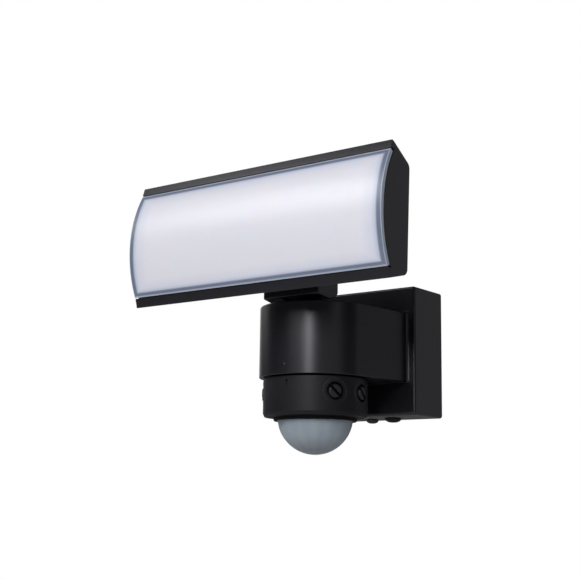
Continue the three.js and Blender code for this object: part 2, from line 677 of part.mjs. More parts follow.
function ledBoard() {
  const { halfLength, z0, z1, screwRoom } = LED_BOARD;
  const board = block(-halfLength, halfLength, LED_BOARD_FRONT, LED_BOARD_BACK, z0, z1);
  const front = LED_BOARD_FRONT - 1;
  const back = LED_BOARD_BACK + 1;
  const screwClearance = flangeScrewXs.map((x) => level(x, FLANGE_SCREW_Z, screwRoom, front, back, 14));
  const wireHole = level(0, WIRE_Z, WIRE_RADIUS, front, back, 12);
  return cut(board, ...screwClearance, wireHole);
}

function ledPlaces() {
  const places = [];
  for (const z of LED_ROW_HEIGHTS) {
    for (let column = 0; column < LED_COLUMNS; column += 1) {
      places.push({ x: (column - (LED_COLUMNS - 1) / 2) * LED_PITCH, z });
    }
  }
  return places;
}

function led(place) {
  const back = LED_BOARD_FRONT - GAP;
  const half = LED_SIZE / 2;
  return block(place.x - half, place.x + half, back - LED_HEIGHT, back, place.z - half, place.z + half);
}

const TRAY = { halfLength: 83.6, thick: 1, floorLow: 40, floorHigh: 75, windowMargin: 0.6 };
const TRAY_TOP = { y: -124.6, z: 88.2 };
const TRAY_FOOT = { y: -128.2, z: 31.4 };

// White tray: a folded sheet with closed ends and a window over each light source.
function reflectorTray() {
  const { halfLength, thick, floorLow, floorHigh } = TRAY;
  const floor = LED_BOARD_FRONT - GAP - 0.2;
  const section = polygon([
    [floor, floorLow],
    [floor, floorHigh],
    [TRAY_TOP.y, TRAY_TOP.z],
    [TRAY_TOP.y - thick, TRAY_TOP.z - 0.8 * thick],
    [floor - thick, floorHigh - 0.4 * thick],
    [floor - thick, floorLow + 0.4 * thick],
    [TRAY_FOOT.y - thick, TRAY_FOOT.z + 0.8 * thick],
    [TRAY_FOOT.y, TRAY_FOOT.z],
  ]);
  const sheet = barAlongX(section, -halfLength, halfLength);
  const endShape = polygon([
    [floor, floorLow],
    [floor, floorHigh],
    [TRAY_TOP.y, TRAY_TOP.z],
    [TRAY_FOOT.y - 2.8, TRAY_TOP.z - 6.2],
    [TRAY_FOOT.y - 4.2, floorLow],
    [TRAY_FOOT.y, TRAY_FOOT.z],
  ]);
  const ends = [-halfLength, halfLength - thick].map((x) => barAlongX(endShape, x, x + thick));
  const gap = LED_SIZE / 2 + TRAY.windowMargin;
  const windows = ledPlaces().map(({ x, z }) => {
    return block(x - gap, x + gap, floor - 2 * thick, floor + thick, z - gap, z + gap);
  });
  return cut(joined(sheet, ...ends), ...windows);
}

const KNUCKLE_FOOT = { low: 26.4, high: 31.5 }; // front edge of the knuckle's underside
const KNUCKLE_NECK = { low: 33, high: 57 }; // where it runs into the flange
const FLANGE = { low: 32, high: 60 };
const CLEVIS = { side: 0.4, round: 0.9 }; // clearance round the turret's lug
const POCKET = { radius: 5.6, depth: 3 };

// Side view of the knuckle: a block round the tilt axis and a neck to the flange on the head.
function knuckleShape() {
  const back = KNUCKLE_BACK - TILT_Y;
  const meet = -Math.acos(back / KNUCKLE_ROUND);
  const shape = new THREE.Shape();
  shape.moveTo(KNUCKLE_FRONT, KNUCKLE_FOOT.low);
  shape.lineTo(TILT_Y - 1.2, TILT_Z - KNUCKLE_ROUND + 0.05);
  shape.absarc(TILT_Y, TILT_Z, KNUCKLE_ROUND, -Math.PI / 2, meet, false);
  shape.lineTo(KNUCKLE_BACK, TILT_Z + 6);
  shape.quadraticCurveTo(KNUCKLE_BACK - 0.6, TILT_Z + 13, TILT_Y + 1, TILT_Z + 13.4);
  shape.lineTo(FLANGE_BACK - 1, KNUCKLE_NECK.high);
  shape.lineTo(FLANGE_BACK - 1, KNUCKLE_NECK.low);
  shape.lineTo(KNUCKLE_FRONT, KNUCKLE_FOOT.high);
  return shape;
}

function knuckle() {
  const front = (z) => backAt(z) + GAP;
  const { low, high } = FLANGE;
  const flangeShape = polygon([
    [FLANGE_BACK, low],
    [FLANGE_BACK, high],
    [front(high), high],
    [front(low), low],
  ]);
  const flange = barAlongX(flangeShape, -FLANGE_HALF_WIDTH, FLANGE_HALF_WIDTH);
  const bar = barAlongX(knuckleShape(), -KNUCKLE_HALF_WIDTH, KNUCKLE_HALF_WIDTH, 8);
  const slotHalf = LUG_HALF_WIDTH + CLEVIS.side;
  const slotRadius = LUG_RADIUS + CLEVIS.round;
  const slotRound = crosswise(TILT_Y, TILT_Z, slotRadius, -slotHalf, slotHalf, 28);
  const open = KNUCKLE_BACK + 1;
  const under = TILT_Z - KNUCKLE_ROUND - 1;
  const slotDown = block(-slotHalf, slotHalf, TILT_Y - slotRadius, open, under, TILT_Z);
  const slotBack = block(-slotHalf, slotHalf, TILT_Y, open, under, TILT_Z + slotRadius);
  const past = KNUCKLE_HALF_WIDTH + 1;
  const pocket = KNUCKLE_HALF_WIDTH - POCKET.depth;
  const boltHole = crosswise(TILT_Y, TILT_Z, BOLT_RADIUS + GAP, -past, past, 20);
  const headPocket = crosswise(TILT_Y, TILT_Z, POCKET.radius, pocket, past, 24);
  const nutPocket = crosswise(TILT_Y, TILT_Z, POCKET.radius, -past, -pocket, 24);
  const screwHoles = flangeScrewXs.map((x) => {
    return level(x, FLANGE_SCREW_Z, FLANGE_SCREW_HOLE, HEAD_CUT_FRONT, HEAD_CUT_BACK, 14);
  });
  const wireHole = level(0, WIRE_Z, WIRE_RADIUS, HEAD_CUT_FRONT, TILT_Y, 12);
  return cut(
    joined(flange, bar),
    slotRound,
    slotDown,
    slotBack,
    boltHole,
    headPocket,
    nutPocket,
    ...screwHoles,
    wireHole,
  );
}

// Bolt along the tilt axis, with its slotted head on the +X side.
function tiltBolt() {
  const outer = KNUCKLE_HALF_WIDTH - 0.4;
  const seat = KNUCKLE_HALF_WIDTH - POCKET.depth + GAP;
  const shank = crosswise(TILT_Y, TILT_Z, BOLT_RADIUS, -outer + 0.4, seat + 0.5, 20);
  const head = crosswise(TILT_Y, TILT_Z, POCKET.radius - 0.8, seat, outer, 24);
  const slot = block(outer - 1, outer + 1, TILT_Y - 6, TILT_Y + 6, TILT_Z - 0.6, TILT_Z + 0.6);
  return cut(joined(shank, head), slot);
}

function tiltNut() {
  const outer = -KNUCKLE_HALF_WIDTH + 0.5;
  const inner = -KNUCKLE_HALF_WIDTH + POCKET.depth - GAP;
  const hexagon = crosswise(TILT_Y, TILT_Z, POCKET.radius - 0.7, outer, inner, 6);
  return cut(hexagon, crosswise(TILT_Y, TILT_Z, BOLT_RADIUS + GAP, outer - 1, inner + 1, 20));
}

function flangeScrew(x) {
  const headBack = FLANGE_BACK + 2.4;
  const head = level(x, FLANGE_SCREW_Z, 3, FLANGE_BACK + GAP, headBack, 16);
  const shank = level(x, FLANGE_SCREW_Z, FLANGE_SCREW_SHANK, SINK_FRONT + 0.4, FLANGE_BACK + 1, 12);
  const slotA = block(x - 2, x + 2, headBack - 1, headBack + 1, FLANGE_SCREW_Z - 0.4, FLANGE_SCREW_Z + 0.4);
  const slotB = block(x - 0.4, x + 0.4, headBack - 1, headBack + 1, FLANGE_SCREW_Z - 2, FLANGE_SCREW_Z + 2);
  return cut(joined(head, shank), slotA, slotB);
}

function headPieces() {
  const group = new THREE.Group();
  group.add(piece("head_housing", headHousing(), blackPlastic));
  group.add(piece("diffuser", diffuser(), milkyCover));
  group.add(piece("diffuser_seal", diffuserSeal(), rubber));
  group.add(piece("reflector_tray", reflectorTray(), whitePlastic));
  group.add(piece("heat_sink_plate", heatSink(), aluminium));
  group.add(piece("led_board", ledBoard(), whitePlastic));
  ledPlaces().forEach((place, i) => group.add(piece(`led_${i + 1}`, led(place), ledYellow)));
  group.add(piece("tilt_knuckle", knuckle(), blackPlastic));
  group.add(piece("tilt_bolt", tiltBolt(), steel));
  group.add(piece("tilt_nut", tiltNut(), steel));
  flangeScrewXs.forEach((x, i) => group.add(piece(`flange_screw_${i + 1}`, flangeScrew(x), steel)));
  return group;
}

// ---- Motion sensor: it turns about the upright axis ----

const SENSOR_CLIP_LOW = BODY_BOTTOM + SKIN + 2 * GAP;
const SENSOR_CLIP_HIGH = SENSOR_CLIP_LOW + 1.8;
const SPIGOT_GROOVE = 16.2;
const SENSOR_CLIP_RADIUS = 21;
const BEZEL_HEIGHT = 2.4;
const LENS_FLANGE = { radius: 26, thick: 1.2 };
const SENSING_CAN = { radius: 4.1, brim: 4.6, brimThick: 0.7, height: 4 };
const DAYLIGHT_EYE = { x: 9, y: -6, radius: 2.4, height: 2.6 };

// Knobs look outwards along -Y in their own group; this turns a tool the same way.
function atAzimuth(solid, degrees) {
  return solid.rotate([0, 0, degrees]);
}

function sensorHousing() {
  const ceiling = SENSOR_TOP - SENSOR_SKIN;
  const room = SENSOR_RADIUS - SENSOR_SKIN;
  const outline = [
    [SPIGOT_BORE, SPIGOT_TOP],
    [SPIGOT_RADIUS, SPIGOT_TOP],
    [SPIGOT_RADIUS, SENSOR_CLIP_HIGH + GAP],
    [SPIGOT_GROOVE, SENSOR_CLIP_HIGH + GAP],
    [SPIGOT_GROOVE, SENSOR_CLIP_LOW - GAP],
    [SPIGOT_RADIUS, SENSOR_CLIP_LOW - GAP],
    [SPIGOT_RADIUS, SENSOR_TOP],
    [SENSOR_RADIUS - 0.4, SENSOR_TOP],
    [SENSOR_RADIUS, SENSOR_TOP - 0.4],
    [SENSOR_RADIUS, SENSOR_BOTTOM + 2],
    [SENSOR_RADIUS - 0.8, SENSOR_BOTTOM],
    [room, SENSOR_BOTTOM],
    [room, ceiling],
    [SPIGOT_BORE, ceiling],
  ];
  const cup = turned(outline, 40);
  const holes = KNOB_AZIMUTHS.map((azimuth) => {
    return atAzimuth(level(0, KNOB_Z, KNOB_HOLE, -SENSOR_RADIUS - 1, -room + 4, 20), azimuth);
  });
  return cut(cup, ...holes);
}

function lensBezel() {
  const hole = LENS_RADIUS + 0.35;
  const outer = SENSOR_RADIUS - SENSOR_SKIN - GAP;
  return turned([
    [hole, COLLAR_BOTTOM],
    [COLLAR_RADIUS, COLLAR_BOTTOM],
    [COLLAR_RADIUS, SENSOR_BOTTOM],
    [outer, SENSOR_BOTTOM],
    [outer, SENSOR_BOTTOM + BEZEL_HEIGHT],
    [hole, SENSOR_BOTTOM + BEZEL_HEIGHT],
  ]);
}

function domeLens() {
  const flangeLow = SENSOR_BOTTOM + BEZEL_HEIGHT + GAP;
  const flangeHigh = flangeLow + LENS_FLANGE.thick;
  const steps = 7;
  const outline = [];
  for (let i = 0; i <= steps; i += 1) {
    const angle = ((i / steps) * Math.PI) / 2;
    outline.push([LENS_RADIUS * Math.sin(angle), LENS_CENTRE - LENS_RADIUS * Math.cos(angle)]);
  }
  outline.push([LENS_RADIUS, flangeLow]);
  outline.push([LENS_FLANGE.radius, flangeLow]);
  outline.push([LENS_FLANGE.radius, flangeHigh]);
  outline.push([LENS_RADIUS - LENS_THICK, flangeHigh]);
  for (let i = steps; i >= 0; i -= 1) {
    const angle = ((i / steps) * Math.PI) / 2;
    const radius = LENS_RADIUS - LENS_THICK;
    outline.push([radius * Math.sin(angle), LENS_CENTRE - radius * Math.cos(angle)]);
  }
  return turned(outline, 28);
}

const SENSOR_BOARD_RADIUS = 27.6;
const SENSOR_BOARD_LOW = SENSOR_BOTTOM + BEZEL_HEIGHT + LENS_FLANGE.thick + 2 * GAP;
const SENSOR_BOARD_HIGH = SENSOR_BOARD_LOW + 1.4;

// Round metal can under the board, with a brim where it meets the board.
function sensingCan(top) {
  const { radius, brim, brimThick, height } = SENSING_CAN;
  return turned([
    [0, top],
    [brim, top],
    [brim, top - brimThick],
    [radius, top - brimThick],
    [radius, top - height],
    [0, top - height],
  ], 20);
}

function sensorPieces() {
  const group = new THREE.Group();
  group.position.set(0, AXIS_Y, 0);
  const clip = turned([
    [SPIGOT_GROOVE + GAP, SENSOR_CLIP_LOW],
    [SENSOR_CLIP_RADIUS, SENSOR_CLIP_LOW],
    [SENSOR_CLIP_RADIUS, SENSOR_CLIP_HIGH],
    [SPIGOT_GROOVE + GAP, SENSOR_CLIP_HIGH],
  ]);
  const mouthEnd = SENSOR_CLIP_RADIUS + 1;
  const mouthHalf = CLIP_MOUTH_HALF;
  const clipMouth = block(-mouthHalf, mouthHalf, 0, mouthEnd, SENSOR_CLIP_LOW - 1, SENSOR_CLIP_HIGH + 1);
  const board = upright(0, 0, SENSOR_BOARD_RADIUS, SENSOR_BOARD_LOW, SENSOR_BOARD_HIGH, 32);
  const canTop = SENSOR_BOARD_LOW - GAP;
  const { x, y, radius, height } = DAYLIGHT_EYE;
  const eye = upright(x, y, radius, canTop - height, canTop, 14);
  group.add(piece("sensor_housing", sensorHousing(), blackPlastic));
  group.add(piece("sensor_retaining_clip", cut(clip, clipMouth), steel));
  group.add(piece("lens_bezel", lensBezel(), blackPlastic));
  group.add(piece("dome_lens", domeLens(), milkyLens));
  group.add(piece("sensor_board", board, boardGreen));
  group.add(piece("motion_sensing_element", sensingCan(canTop), steel));
  group.add(piece("daylight_sensor", eye, whitePlastic));
  return group;
}

// ---- Setting knobs, with the dial and seal behind each ----

const STEM_RADIUS = 2;
const DISC_THICK = 2.4;
const STEM_INNER = 24.4;
const DIAL_FRONT = 26;
const DIAL_BACK = 20;
const DIAL_HALF = 5;
const KNOB_SEAL = { radius: 4.6, thick: 1.6 };

function knob(slotDegrees) {
  const disc = level(0, KNOB_Z, KNOB_RADIUS, -KNOB_FACE, -KNOB_FACE + DISC_THICK, 20);
  const stem = level(0, KNOB_Z, STEM_RADIUS, -KNOB_FACE + DISC_THICK - 0.5, -STEM_INNER, 12);
  const reach = KNOB_RADIUS + 1;
  const slotHalf = KNOB_SLOT_WIDTH / 2;
  const slot = block(-reach, reach, -KNOB_FACE - 1, -KNOB_FACE + 1, -slotHalf, slotHalf);
  const turnedSlot = slot.rotate([0, slotDegrees, 0]).translate([0, 0, KNOB_Z]);
  return cut(joined(disc, stem), turnedSlot);
}

function knobSeal() {
  const back = -KNOB_FACE + DISC_THICK + GAP;
  const ring = level(0, KNOB_Z, KNOB_SEAL.radius, back, back + KNOB_SEAL.thick, 16);
  return cut(ring, level(0, KNOB_Z, STEM_RADIUS + GAP, back - 1, back + 3, 12));
}

function dial() {
  const top = KNOB_Z + DIAL_HALF - 0.2;
  const body = block(-DIAL_HALF, DIAL_HALF, -DIAL_FRONT, -DIAL_BACK, SENSOR_BOARD_HIGH + GAP, top);
  return cut(body, level(0, KNOB_Z, STEM_RADIUS + GAP, -DIAL_FRONT - 1, -STEM_INNER + 1, 12));
}

function knobStation(number, azimuth) {
  const group = new THREE.Group();
  group.position.set(0, AXIS_Y, 0);
  group.rotation.z = THREE.MathUtils.degToRad(azimuth);
  group.add(piece(`setting_knob_${number}`, knob(KNOB_TURN), blackPlastic));
  group.add(piece(`knob_seal_${number}`, knobSeal(), rubber));
  group.add(piece(`dial_potentiometer_${number}`, dial(), potBlue));
  return group;
}

// ---- Whole light ----

const floodlight = new THREE.Group();
floodlight.add(wallBoxPieces());
floodlight.add(turretPieces());
floodlight.add(headPieces());
floodlight.add(sensorPieces());
KNOB_AZIMUTHS.forEach((azimuth, i) => floodlight.add(knobStation(i + 1, azimuth)));

export default floodlight;
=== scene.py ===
import json
import math

import bmesh
import bpy
from mathutils import Matrix, Vector


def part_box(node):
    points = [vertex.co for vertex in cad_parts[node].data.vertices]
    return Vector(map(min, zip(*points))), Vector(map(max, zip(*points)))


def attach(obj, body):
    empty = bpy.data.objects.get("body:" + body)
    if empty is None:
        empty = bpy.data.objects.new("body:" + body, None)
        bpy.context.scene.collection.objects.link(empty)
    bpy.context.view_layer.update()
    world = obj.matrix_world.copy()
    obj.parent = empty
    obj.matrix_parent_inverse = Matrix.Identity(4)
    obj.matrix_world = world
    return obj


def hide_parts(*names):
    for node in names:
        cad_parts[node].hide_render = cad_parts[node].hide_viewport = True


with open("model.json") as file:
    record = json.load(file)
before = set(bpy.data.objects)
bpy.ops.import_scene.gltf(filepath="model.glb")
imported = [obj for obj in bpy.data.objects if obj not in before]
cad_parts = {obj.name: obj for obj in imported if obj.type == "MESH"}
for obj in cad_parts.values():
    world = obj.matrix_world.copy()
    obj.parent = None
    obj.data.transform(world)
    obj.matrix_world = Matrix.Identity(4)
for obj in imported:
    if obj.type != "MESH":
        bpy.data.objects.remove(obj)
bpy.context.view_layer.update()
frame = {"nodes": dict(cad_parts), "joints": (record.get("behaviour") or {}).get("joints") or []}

# ---- Body moulding ----
# The wall box, the flared arm and the round body are one hollow moulding in black ABS.
# It hooks over the wall plate and carries the lamp head on its top and the sensor under it.


def mm(value):
    return value / 1000


def joint_place(name):
    joint = next(joint for joint in frame["joints"] if joint["name"] == name)
    return Vector(joint["pos_m"])


body_low, body_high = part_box("body_shell")
pan_place = joint_place("head_pan")
AXIS_Y = pan_place.y
BODY_TOP = pan_place.z
BODY_FLOOR = mm(-18.7)
BODY_RADIUS = AXIS_Y - body_low.y
BODY_SKIN = mm(2.6)
BOX_FRONT = mm(-31.6)
ARM_HALF_WIDTH = mm(38.7)
ARM_MEETS_BOX = BOX_FRONT + mm(1)
ARM_TOP_ROUND = mm(0.9)
BOX_CORNER = mm(1.6)
BOX_FRONT_ROUND = mm(1.3)
BOX_FOOT_ROUND = mm(2.6)
ROOT_ROUND = mm(1.8)
TURRET_RECESS = (mm(26.9), mm(2.5))  # radius and depth
LEDGE_THICK = mm(1.7)
LEDGE_HOLE = mm(22)
FLOOR_HOLE = mm(18)
SEAL_GROOVE = (mm(21), mm(25), mm(1.2))  # inner and outer radius, and depth
LOCK_SCREW_Y = mm(-10)
LOCK_SCREW_HOLE = mm(2.3)
GLAND_PLACE = (mm(18.5), mm(-15.5))
GLAND_HOLE = mm(4.2)
BOX_FLOOR_CUT = (mm(-42), mm(-33))
INDEX_AZIMUTH = 3.5  # degrees from the front
ROUND_STEPS = 96


def mesh_object(name, build):
    """Makes a linked object of a finished bmesh, with doubled points merged and faces outwards."""
    bmesh.ops.remove_doubles(build, verts=build.verts, dist=mm(0.002))
    bmesh.ops.recalc_face_normals(build, faces=build.faces)
    mesh = bpy.data.meshes.new(name)
    build.to_mesh(mesh)
    build.free()
    made = bpy.data.objects.new(name, mesh)
    bpy.context.scene.collection.objects.link(made)
    return made


def lofted(name, rings, ends="capped"):
    """Skin over rings of equal length. Its ends are capped, or joined to each other, or meet at poles."""
    build = bmesh.new()
    rows = [[build.verts.new(point) for point in ring] for ring in rings]
    pairs = list(zip(rows, rows[1:]))
    if ends == "joined":
        pairs.append((rows[-1], rows[0]))
    for low, high in pairs:
        for here in range(len(low)):
            after = (here + 1) % len(low)
            build.faces.new((low[here], low[after], high[after], high[here]))
    if ends == "capped":
        build.faces.new(list(reversed(rows[0])))
        build.faces.new(rows[-1])
    return mesh_object(name, build)


def circle(radius, steps):
    """Evenly spaced points round a circle in a plane."""
    angles = [math.tau * step / steps for step in range(steps)]
    return [(radius * math.cos(angle), radius * math.sin(angle)) for angle in angles]


def turned(name, profile, place=(0.0, 0.0, 0.0), steps=ROUND_STEPS, ends="joined"):
    """Solid of revolution about an upright axis, from a closed outline of (radius, height)."""
    x, y, z = place
    rings = [[(x + u, y + v, z + height) for u, v in circle(radius, steps)] for radius, height in profile]
    return lofted(name, rings, ends)


def round_bar(name, start, end, radius, steps=32):
    """Round bar between two points."""
    along = Vector(end) - Vector(start)
    side = along.orthogonal().normalized()
    other = along.normalized().cross(side)
    section = circle(radius, steps)
    rings = [[Vector(middle) + u * side + v * other for u, v in section] for middle in (start, end)]
    return lofted(name, rings)


def block(name, low, high):
    """Square-edged cutter between two corners."""
    x0, y0, z0 = low
    x1, y1, z1 = high
    rings = [[(x0, y0, z), (x1, y0, z), (x1, y1, z), (x0, y1, z)] for z in (z0, z1)]
    return lofted(name, rings)


def settled(piece):
    """Turns a piece's modifiers into plain mesh."""
    graph = bpy.context.evaluated_depsgraph_get()
    plain = bpy.data.meshes.new_from_object(piece.evaluated_get(graph))
    piece.modifiers.clear()
    piece.data = plain
    return piece


def reshaped(piece, operation, *tools):
    """Joins tools to a piece, or cuts them out of it, one after another."""
    for tool in tools:
        change = piece.modifiers.new("reshape", "BOOLEAN")
        change.operation = operation
        change.object = tool
        change.solver = "EXACT"
        settled(piece)
        bpy.data.objects.remove(tool)
    return piece


def eased(piece, width, steps=3, sharper_than=30):
    """Rounds every edge that is sharper than the given angle."""
    bevel = piece.modifiers.new("eased edges", "BEVEL")
    bevel.width = width
    bevel.segments = steps
    bevel.limit_method = "ANGLE"
    bevel.angle_limit = math.radians(sharper_than)
    return settled(piece)


def smoothed(piece, sharper_than=32):
    """Smooth shading that keeps real corners crisp and flat faces flat."""
    piece.data.shade_smooth()
    piece.data.set_sharp_from_angle(angle=math.radians(sharper_than))
    weighted = piece.modifiers.new("weighted normals", "WEIGHTED_NORMAL")
    weighted.keep_sharp = True
    return settled(piece)


def arc(centre_u, centre_v, radius, start, end, steps):
    """Points of an arc in a plane, with its angles in degrees."""
    points = []
    for step in range(steps + 1):
        angle = math.radians(start + (end - start) * step / steps)
        points.append((centre_u + radius * math.cos(angle), centre_v + radius * math.sin(angle)))
    return points


def arm_plan(inset, back, steps=72):
    """Plan of the arm: a round front, tangent to two sides that flare out towards the box."""
    radius = BODY_RADIUS - inset
    half = ARM_HALF_WIDTH - inset
    reach = math.hypot(half, back - AXIS_Y)
    touch = math.degrees(math.atan2(half, back - AXIS_Y) + math.acos(radius / reach))
    start = 90 - touch
    return [(half, back), (-half, back)] + arc(0, AXIS_Y, radius, 180 - start, 360 + start, steps)


def arm_solid():
    round_steps = 6
    levels = [(mm(0.25), BODY_FLOOR), (0, BODY_FLOOR + mm(0.25))]
    for step in range(round_steps + 1):
        angle = math.radians(90 * step / round_steps)
        inset = ARM_TOP_ROUND * (1 - math.cos(angle))
        levels.append((inset, BODY_TOP - ARM_TOP_ROUND * (1 - math.sin(angle))))
    rings = [[(x, y, z) for x, y in arm_plan(inset, ARM_MEETS_BOX)] for inset, z in levels]
    return lofted("arm", rings)


def rounded_rectangle(half_width, low, high, corner, steps=6):
    """Outline in width and height, with four round corners."""
    corners = [
        (half_width - corner, low + corner, 270),
        (half_width - corner, high - corner, 0),
        (-half_width + corner, high - corner, 90),
        (-half_width + corner, low + corner, 180),
    ]
    points = []
    for u, v, start in corners:
        points += arc(u, v, corner, start, start + 90, steps)
    return points


def box_solid():
    round_steps = 6
    rings = []
    for step in range(round_steps + 1):
        angle = math.radians(90 * step / round_steps)
        inset = BOX_FRONT_ROUND * (1 - math.sin(angle))
        foot_inset = BOX_FOOT_ROUND * (1 - math.sin(angle))
        y = BOX_FRONT + BOX_FRONT_ROUND * (1 - math.cos(angle))
        outline = rounded_rectangle(
            body_high.x - inset, body_low.z + foot_inset, body_high.z - inset, BOX_CORNER
        )
        rings.append([(x, y, z) for x, z in outline])
    back = rounded_rectangle(body_high.x, body_low.z, body_high.z, BOX_CORNER)
    rings.append([(x, body_high.y, z) for x, z in back])
    return lofted("box", rings)


def root_solid():
    """Hollow round where the arm runs into the box, all the way round it."""
    sunk = mm(0.08)
    steps = 7
    flare = (ARM_HALF_WIDTH - BODY_RADIUS) / (ARM_MEETS_BOX - AXIS_Y)
    stations = [(-sunk, BOX_FRONT - ROOT_ROUND - mm(0.4))]
    for step in range(steps + 1):
        angle = math.radians(90 * step / steps)
        grow = ROOT_ROUND * (1 - math.cos(angle)) - sunk * (1 - step / steps)
        stations.append((grow, BOX_FRONT - ROOT_ROUND * (1 - math.sin(angle))))
    stations.append((ROOT_ROUND, BOX_FRONT + mm(0.6)))
    rings = []
    for grow, y in stations:
        half = ARM_HALF_WIDTH - flare * (ARM_MEETS_BOX - y) * 0.93 + grow
        low, high = BODY_FLOOR - 0.2 * grow, BODY_TOP + 0.4 * grow
        outline = rounded_rectangle(half, low, high, mm(0.9) + 0.5 * max(grow, 0))
        rings.append([(x, y, z) for x, z in outline])
    return lofted("root", rings)


def raised_triangle(azimuth, low, high, half_width, radius, stand):
    """Small pointer that stands proud of a round wall, point first at the height given as high."""
    turn = math.radians(azimuth)
    out = Vector((math.sin(turn), -math.cos(turn), 0))
    side = Vector((math.cos(turn), math.sin(turn), 0))
    rings = []
    for reach in (radius - mm(1), radius + stand):
        foot = Vector((0, AXIS_Y, low)) + out * reach
        tip = foot + Vector((0, 0, high - low))
        rings.append([foot - side * half_width, foot + side * half_width, tip])
    return lofted("pointer", rings)


body_moulding = box_solid()
body_moulding.name = "body_moulding"
reshaped(body_moulding, "UNION", arm_solid(), root_solid())
box_room_half = body_high.x - BODY_SKIN
room_plan = arm_plan(BODY_SKIN, BOX_FRONT + BODY_SKIN + mm(1))
recess_floor = BODY_TOP - TURRET_RECESS[1]
room_top = recess_floor - LEDGE_THICK
seal_inner, seal_outer, seal_deep = SEAL_GROOVE
seal_foot, seal_top = BODY_FLOOR - mm(1), BODY_FLOOR + seal_deep
seal_ring = [(seal_inner, seal_foot), (seal_outer, seal_foot)]
seal_ring += [(seal_outer, seal_top), (seal_inner, seal_top)]
reshaped(
    body_moulding,
    "DIFFERENCE",
    block(
        "box_room",
        (-box_room_half, BOX_FRONT + BODY_SKIN, body_low.z + BODY_SKIN),
        (box_room_half, mm(1), body_high.z - BODY_SKIN),
    ),
    lofted("arm_room", [[(x, y, z) for x, y in room_plan] for z in (BODY_FLOOR + BODY_SKIN, room_top)]),
    round_bar("recess", (0, AXIS_Y, recess_floor), (0, AXIS_Y, mm(30)), TURRET_RECESS[0], ROUND_STEPS),
    round_bar("ledge_hole", (0, AXIS_Y, mm(10)), (0, AXIS_Y, mm(30)), LEDGE_HOLE, 64),
    round_bar("floor_hole", (0, AXIS_Y, mm(-24)), (0, AXIS_Y, mm(-12)), FLOOR_HOLE, 64),
    turned("seal_groove", seal_ring, (0, AXIS_Y, 0)),
    *(
        round_bar("floor_cut", (x, y, BOX_FLOOR_CUT[0]), (x, y, BOX_FLOOR_CUT[1]), radius)
        for x, y, radius in ((0, LOCK_SCREW_Y, LOCK_SCREW_HOLE), (*GLAND_PLACE, GLAND_HOLE))
    ),
)
smoothed(body_moulding)


def feed(tree, socket, value):
    """Sets an input to a value, or links another node's output to it."""
    if isinstance(value, bpy.types.NodeSocket):
        tree.links.new(value, socket)
    else:
        socket.default_value = value


def node(tree, kind, **settings):
    """Adds a node. A setting is one of its options, or what feeds the input of that name."""
    made = tree.nodes.new(kind)
    for name, value in settings.items():
        if hasattr(made, name):
            setattr(made, name, value)
        else:
            feed(tree, made.inputs[name.replace("_", " ")], value)
    return made


def new_finish(name, roughness, metallic=0.0, specular=0.5):
    """Empty finish: a surface shader, and the place on the piece that patterns read."""
    finish = bpy.data.materials.new(name)
    finish.use_nodes = True
    tree = finish.node_tree
    surface = tree.nodes["Principled BSDF"]
    surface.inputs["Roughness"].default_value = roughness
    surface.inputs["Metallic"].default_value = metallic
    surface.inputs["Specular IOR Level"].default_value = specular
    return finish, tree, surface, node(tree, "ShaderNodeTexCoord").outputs["Object"]


def add_bump(tree, surface, height, distance, strength=1.0):
    bump = node(tree, "ShaderNodeBump", Height=height, Distance=distance, Strength=strength)
    tree.links.new(bump.outputs["Normal"], surface.inputs["Normal"])


def vary(tree, factor, low, high, socket):
    """Drives a number socket between two values."""
    spread = node(tree, "ShaderNodeMapRange", Value=factor, To_Min=low, To_Max=high)
    tree.links.new(spread.outputs["Result"], socket)


def colour_ramp(tree, factor, colours):
    """Colour by a ramp of (position, colour)."""
    ramp = node(tree, "ShaderNodeValToRGB", Fac=factor)
    steps = ramp.color_ramp.elements
    while len(steps) < len(colours):
        steps.new(0.5)
    for step, (position, colour) in zip(steps, colours):
        step.position = position
        step.color = (*colour, 1)
    return ramp.outputs["Color"]


def tint(tree, factor, colours, socket):
    tree.links.new(colour_ramp(tree, factor, colours), socket)


def moulded_plastic(name, dark, light, roughness, grain=0.5, specular=0.5):
    """Fine spark-eroded mould grain, with slight unevenness of colour and gloss."""
    finish, tree, surface, place = new_finish(name, roughness, specular=specular)
    surface.inputs["Specular Tint"].default_value = (0.94, 0.93, 1, 1)
    cloudy = node(tree, "ShaderNodeTexNoise", Vector=place, Scale=38.0, Detail=3.0)
    grains = node(tree, "ShaderNodeTexNoise", Vector=place, Scale=2100.0, Detail=2.0, Roughness=0.6)
    tint(tree, cloudy.outputs["Fac"], [(0.3, dark), (0.7, light)], surface.inputs["Base Color"])
    vary(tree, cloudy.outputs["Fac"], roughness - 0.04, roughness + 0.04, surface.inputs["Roughness"])
    add_bump(tree, surface, grains.outputs["Fac"], mm(0.02), grain)
    return finish


black_plastic = moulded_plastic("satin black ABS", (0.0045, 0.0045, 0.0068), (0.006, 0.006, 0.0085), 0.33)
body_moulding.data.materials.append(black_plastic)
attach(body_moulding, "body")
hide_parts("body_shell")
index_mark = raised_triangle(INDEX_AZIMUTH, mm(-12.6), mm(-14), mm(0.8), BODY_RADIUS, mm(0.15))
index_mark.name = "index_mark"
grey_print = moulded_plastic("grey print", (0.03, 0.03, 0.033), (0.04, 0.04, 0.043), 0.6)
index_mark.data.materials.append(grey_print)
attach(index_mark, "body")

# ---- Wall plate ----
# A black moulded plate screwed to the wall. The body hooks over it and one screw from below
# locks the two. It has three slotted screw holes and a round knock-out for the cable.

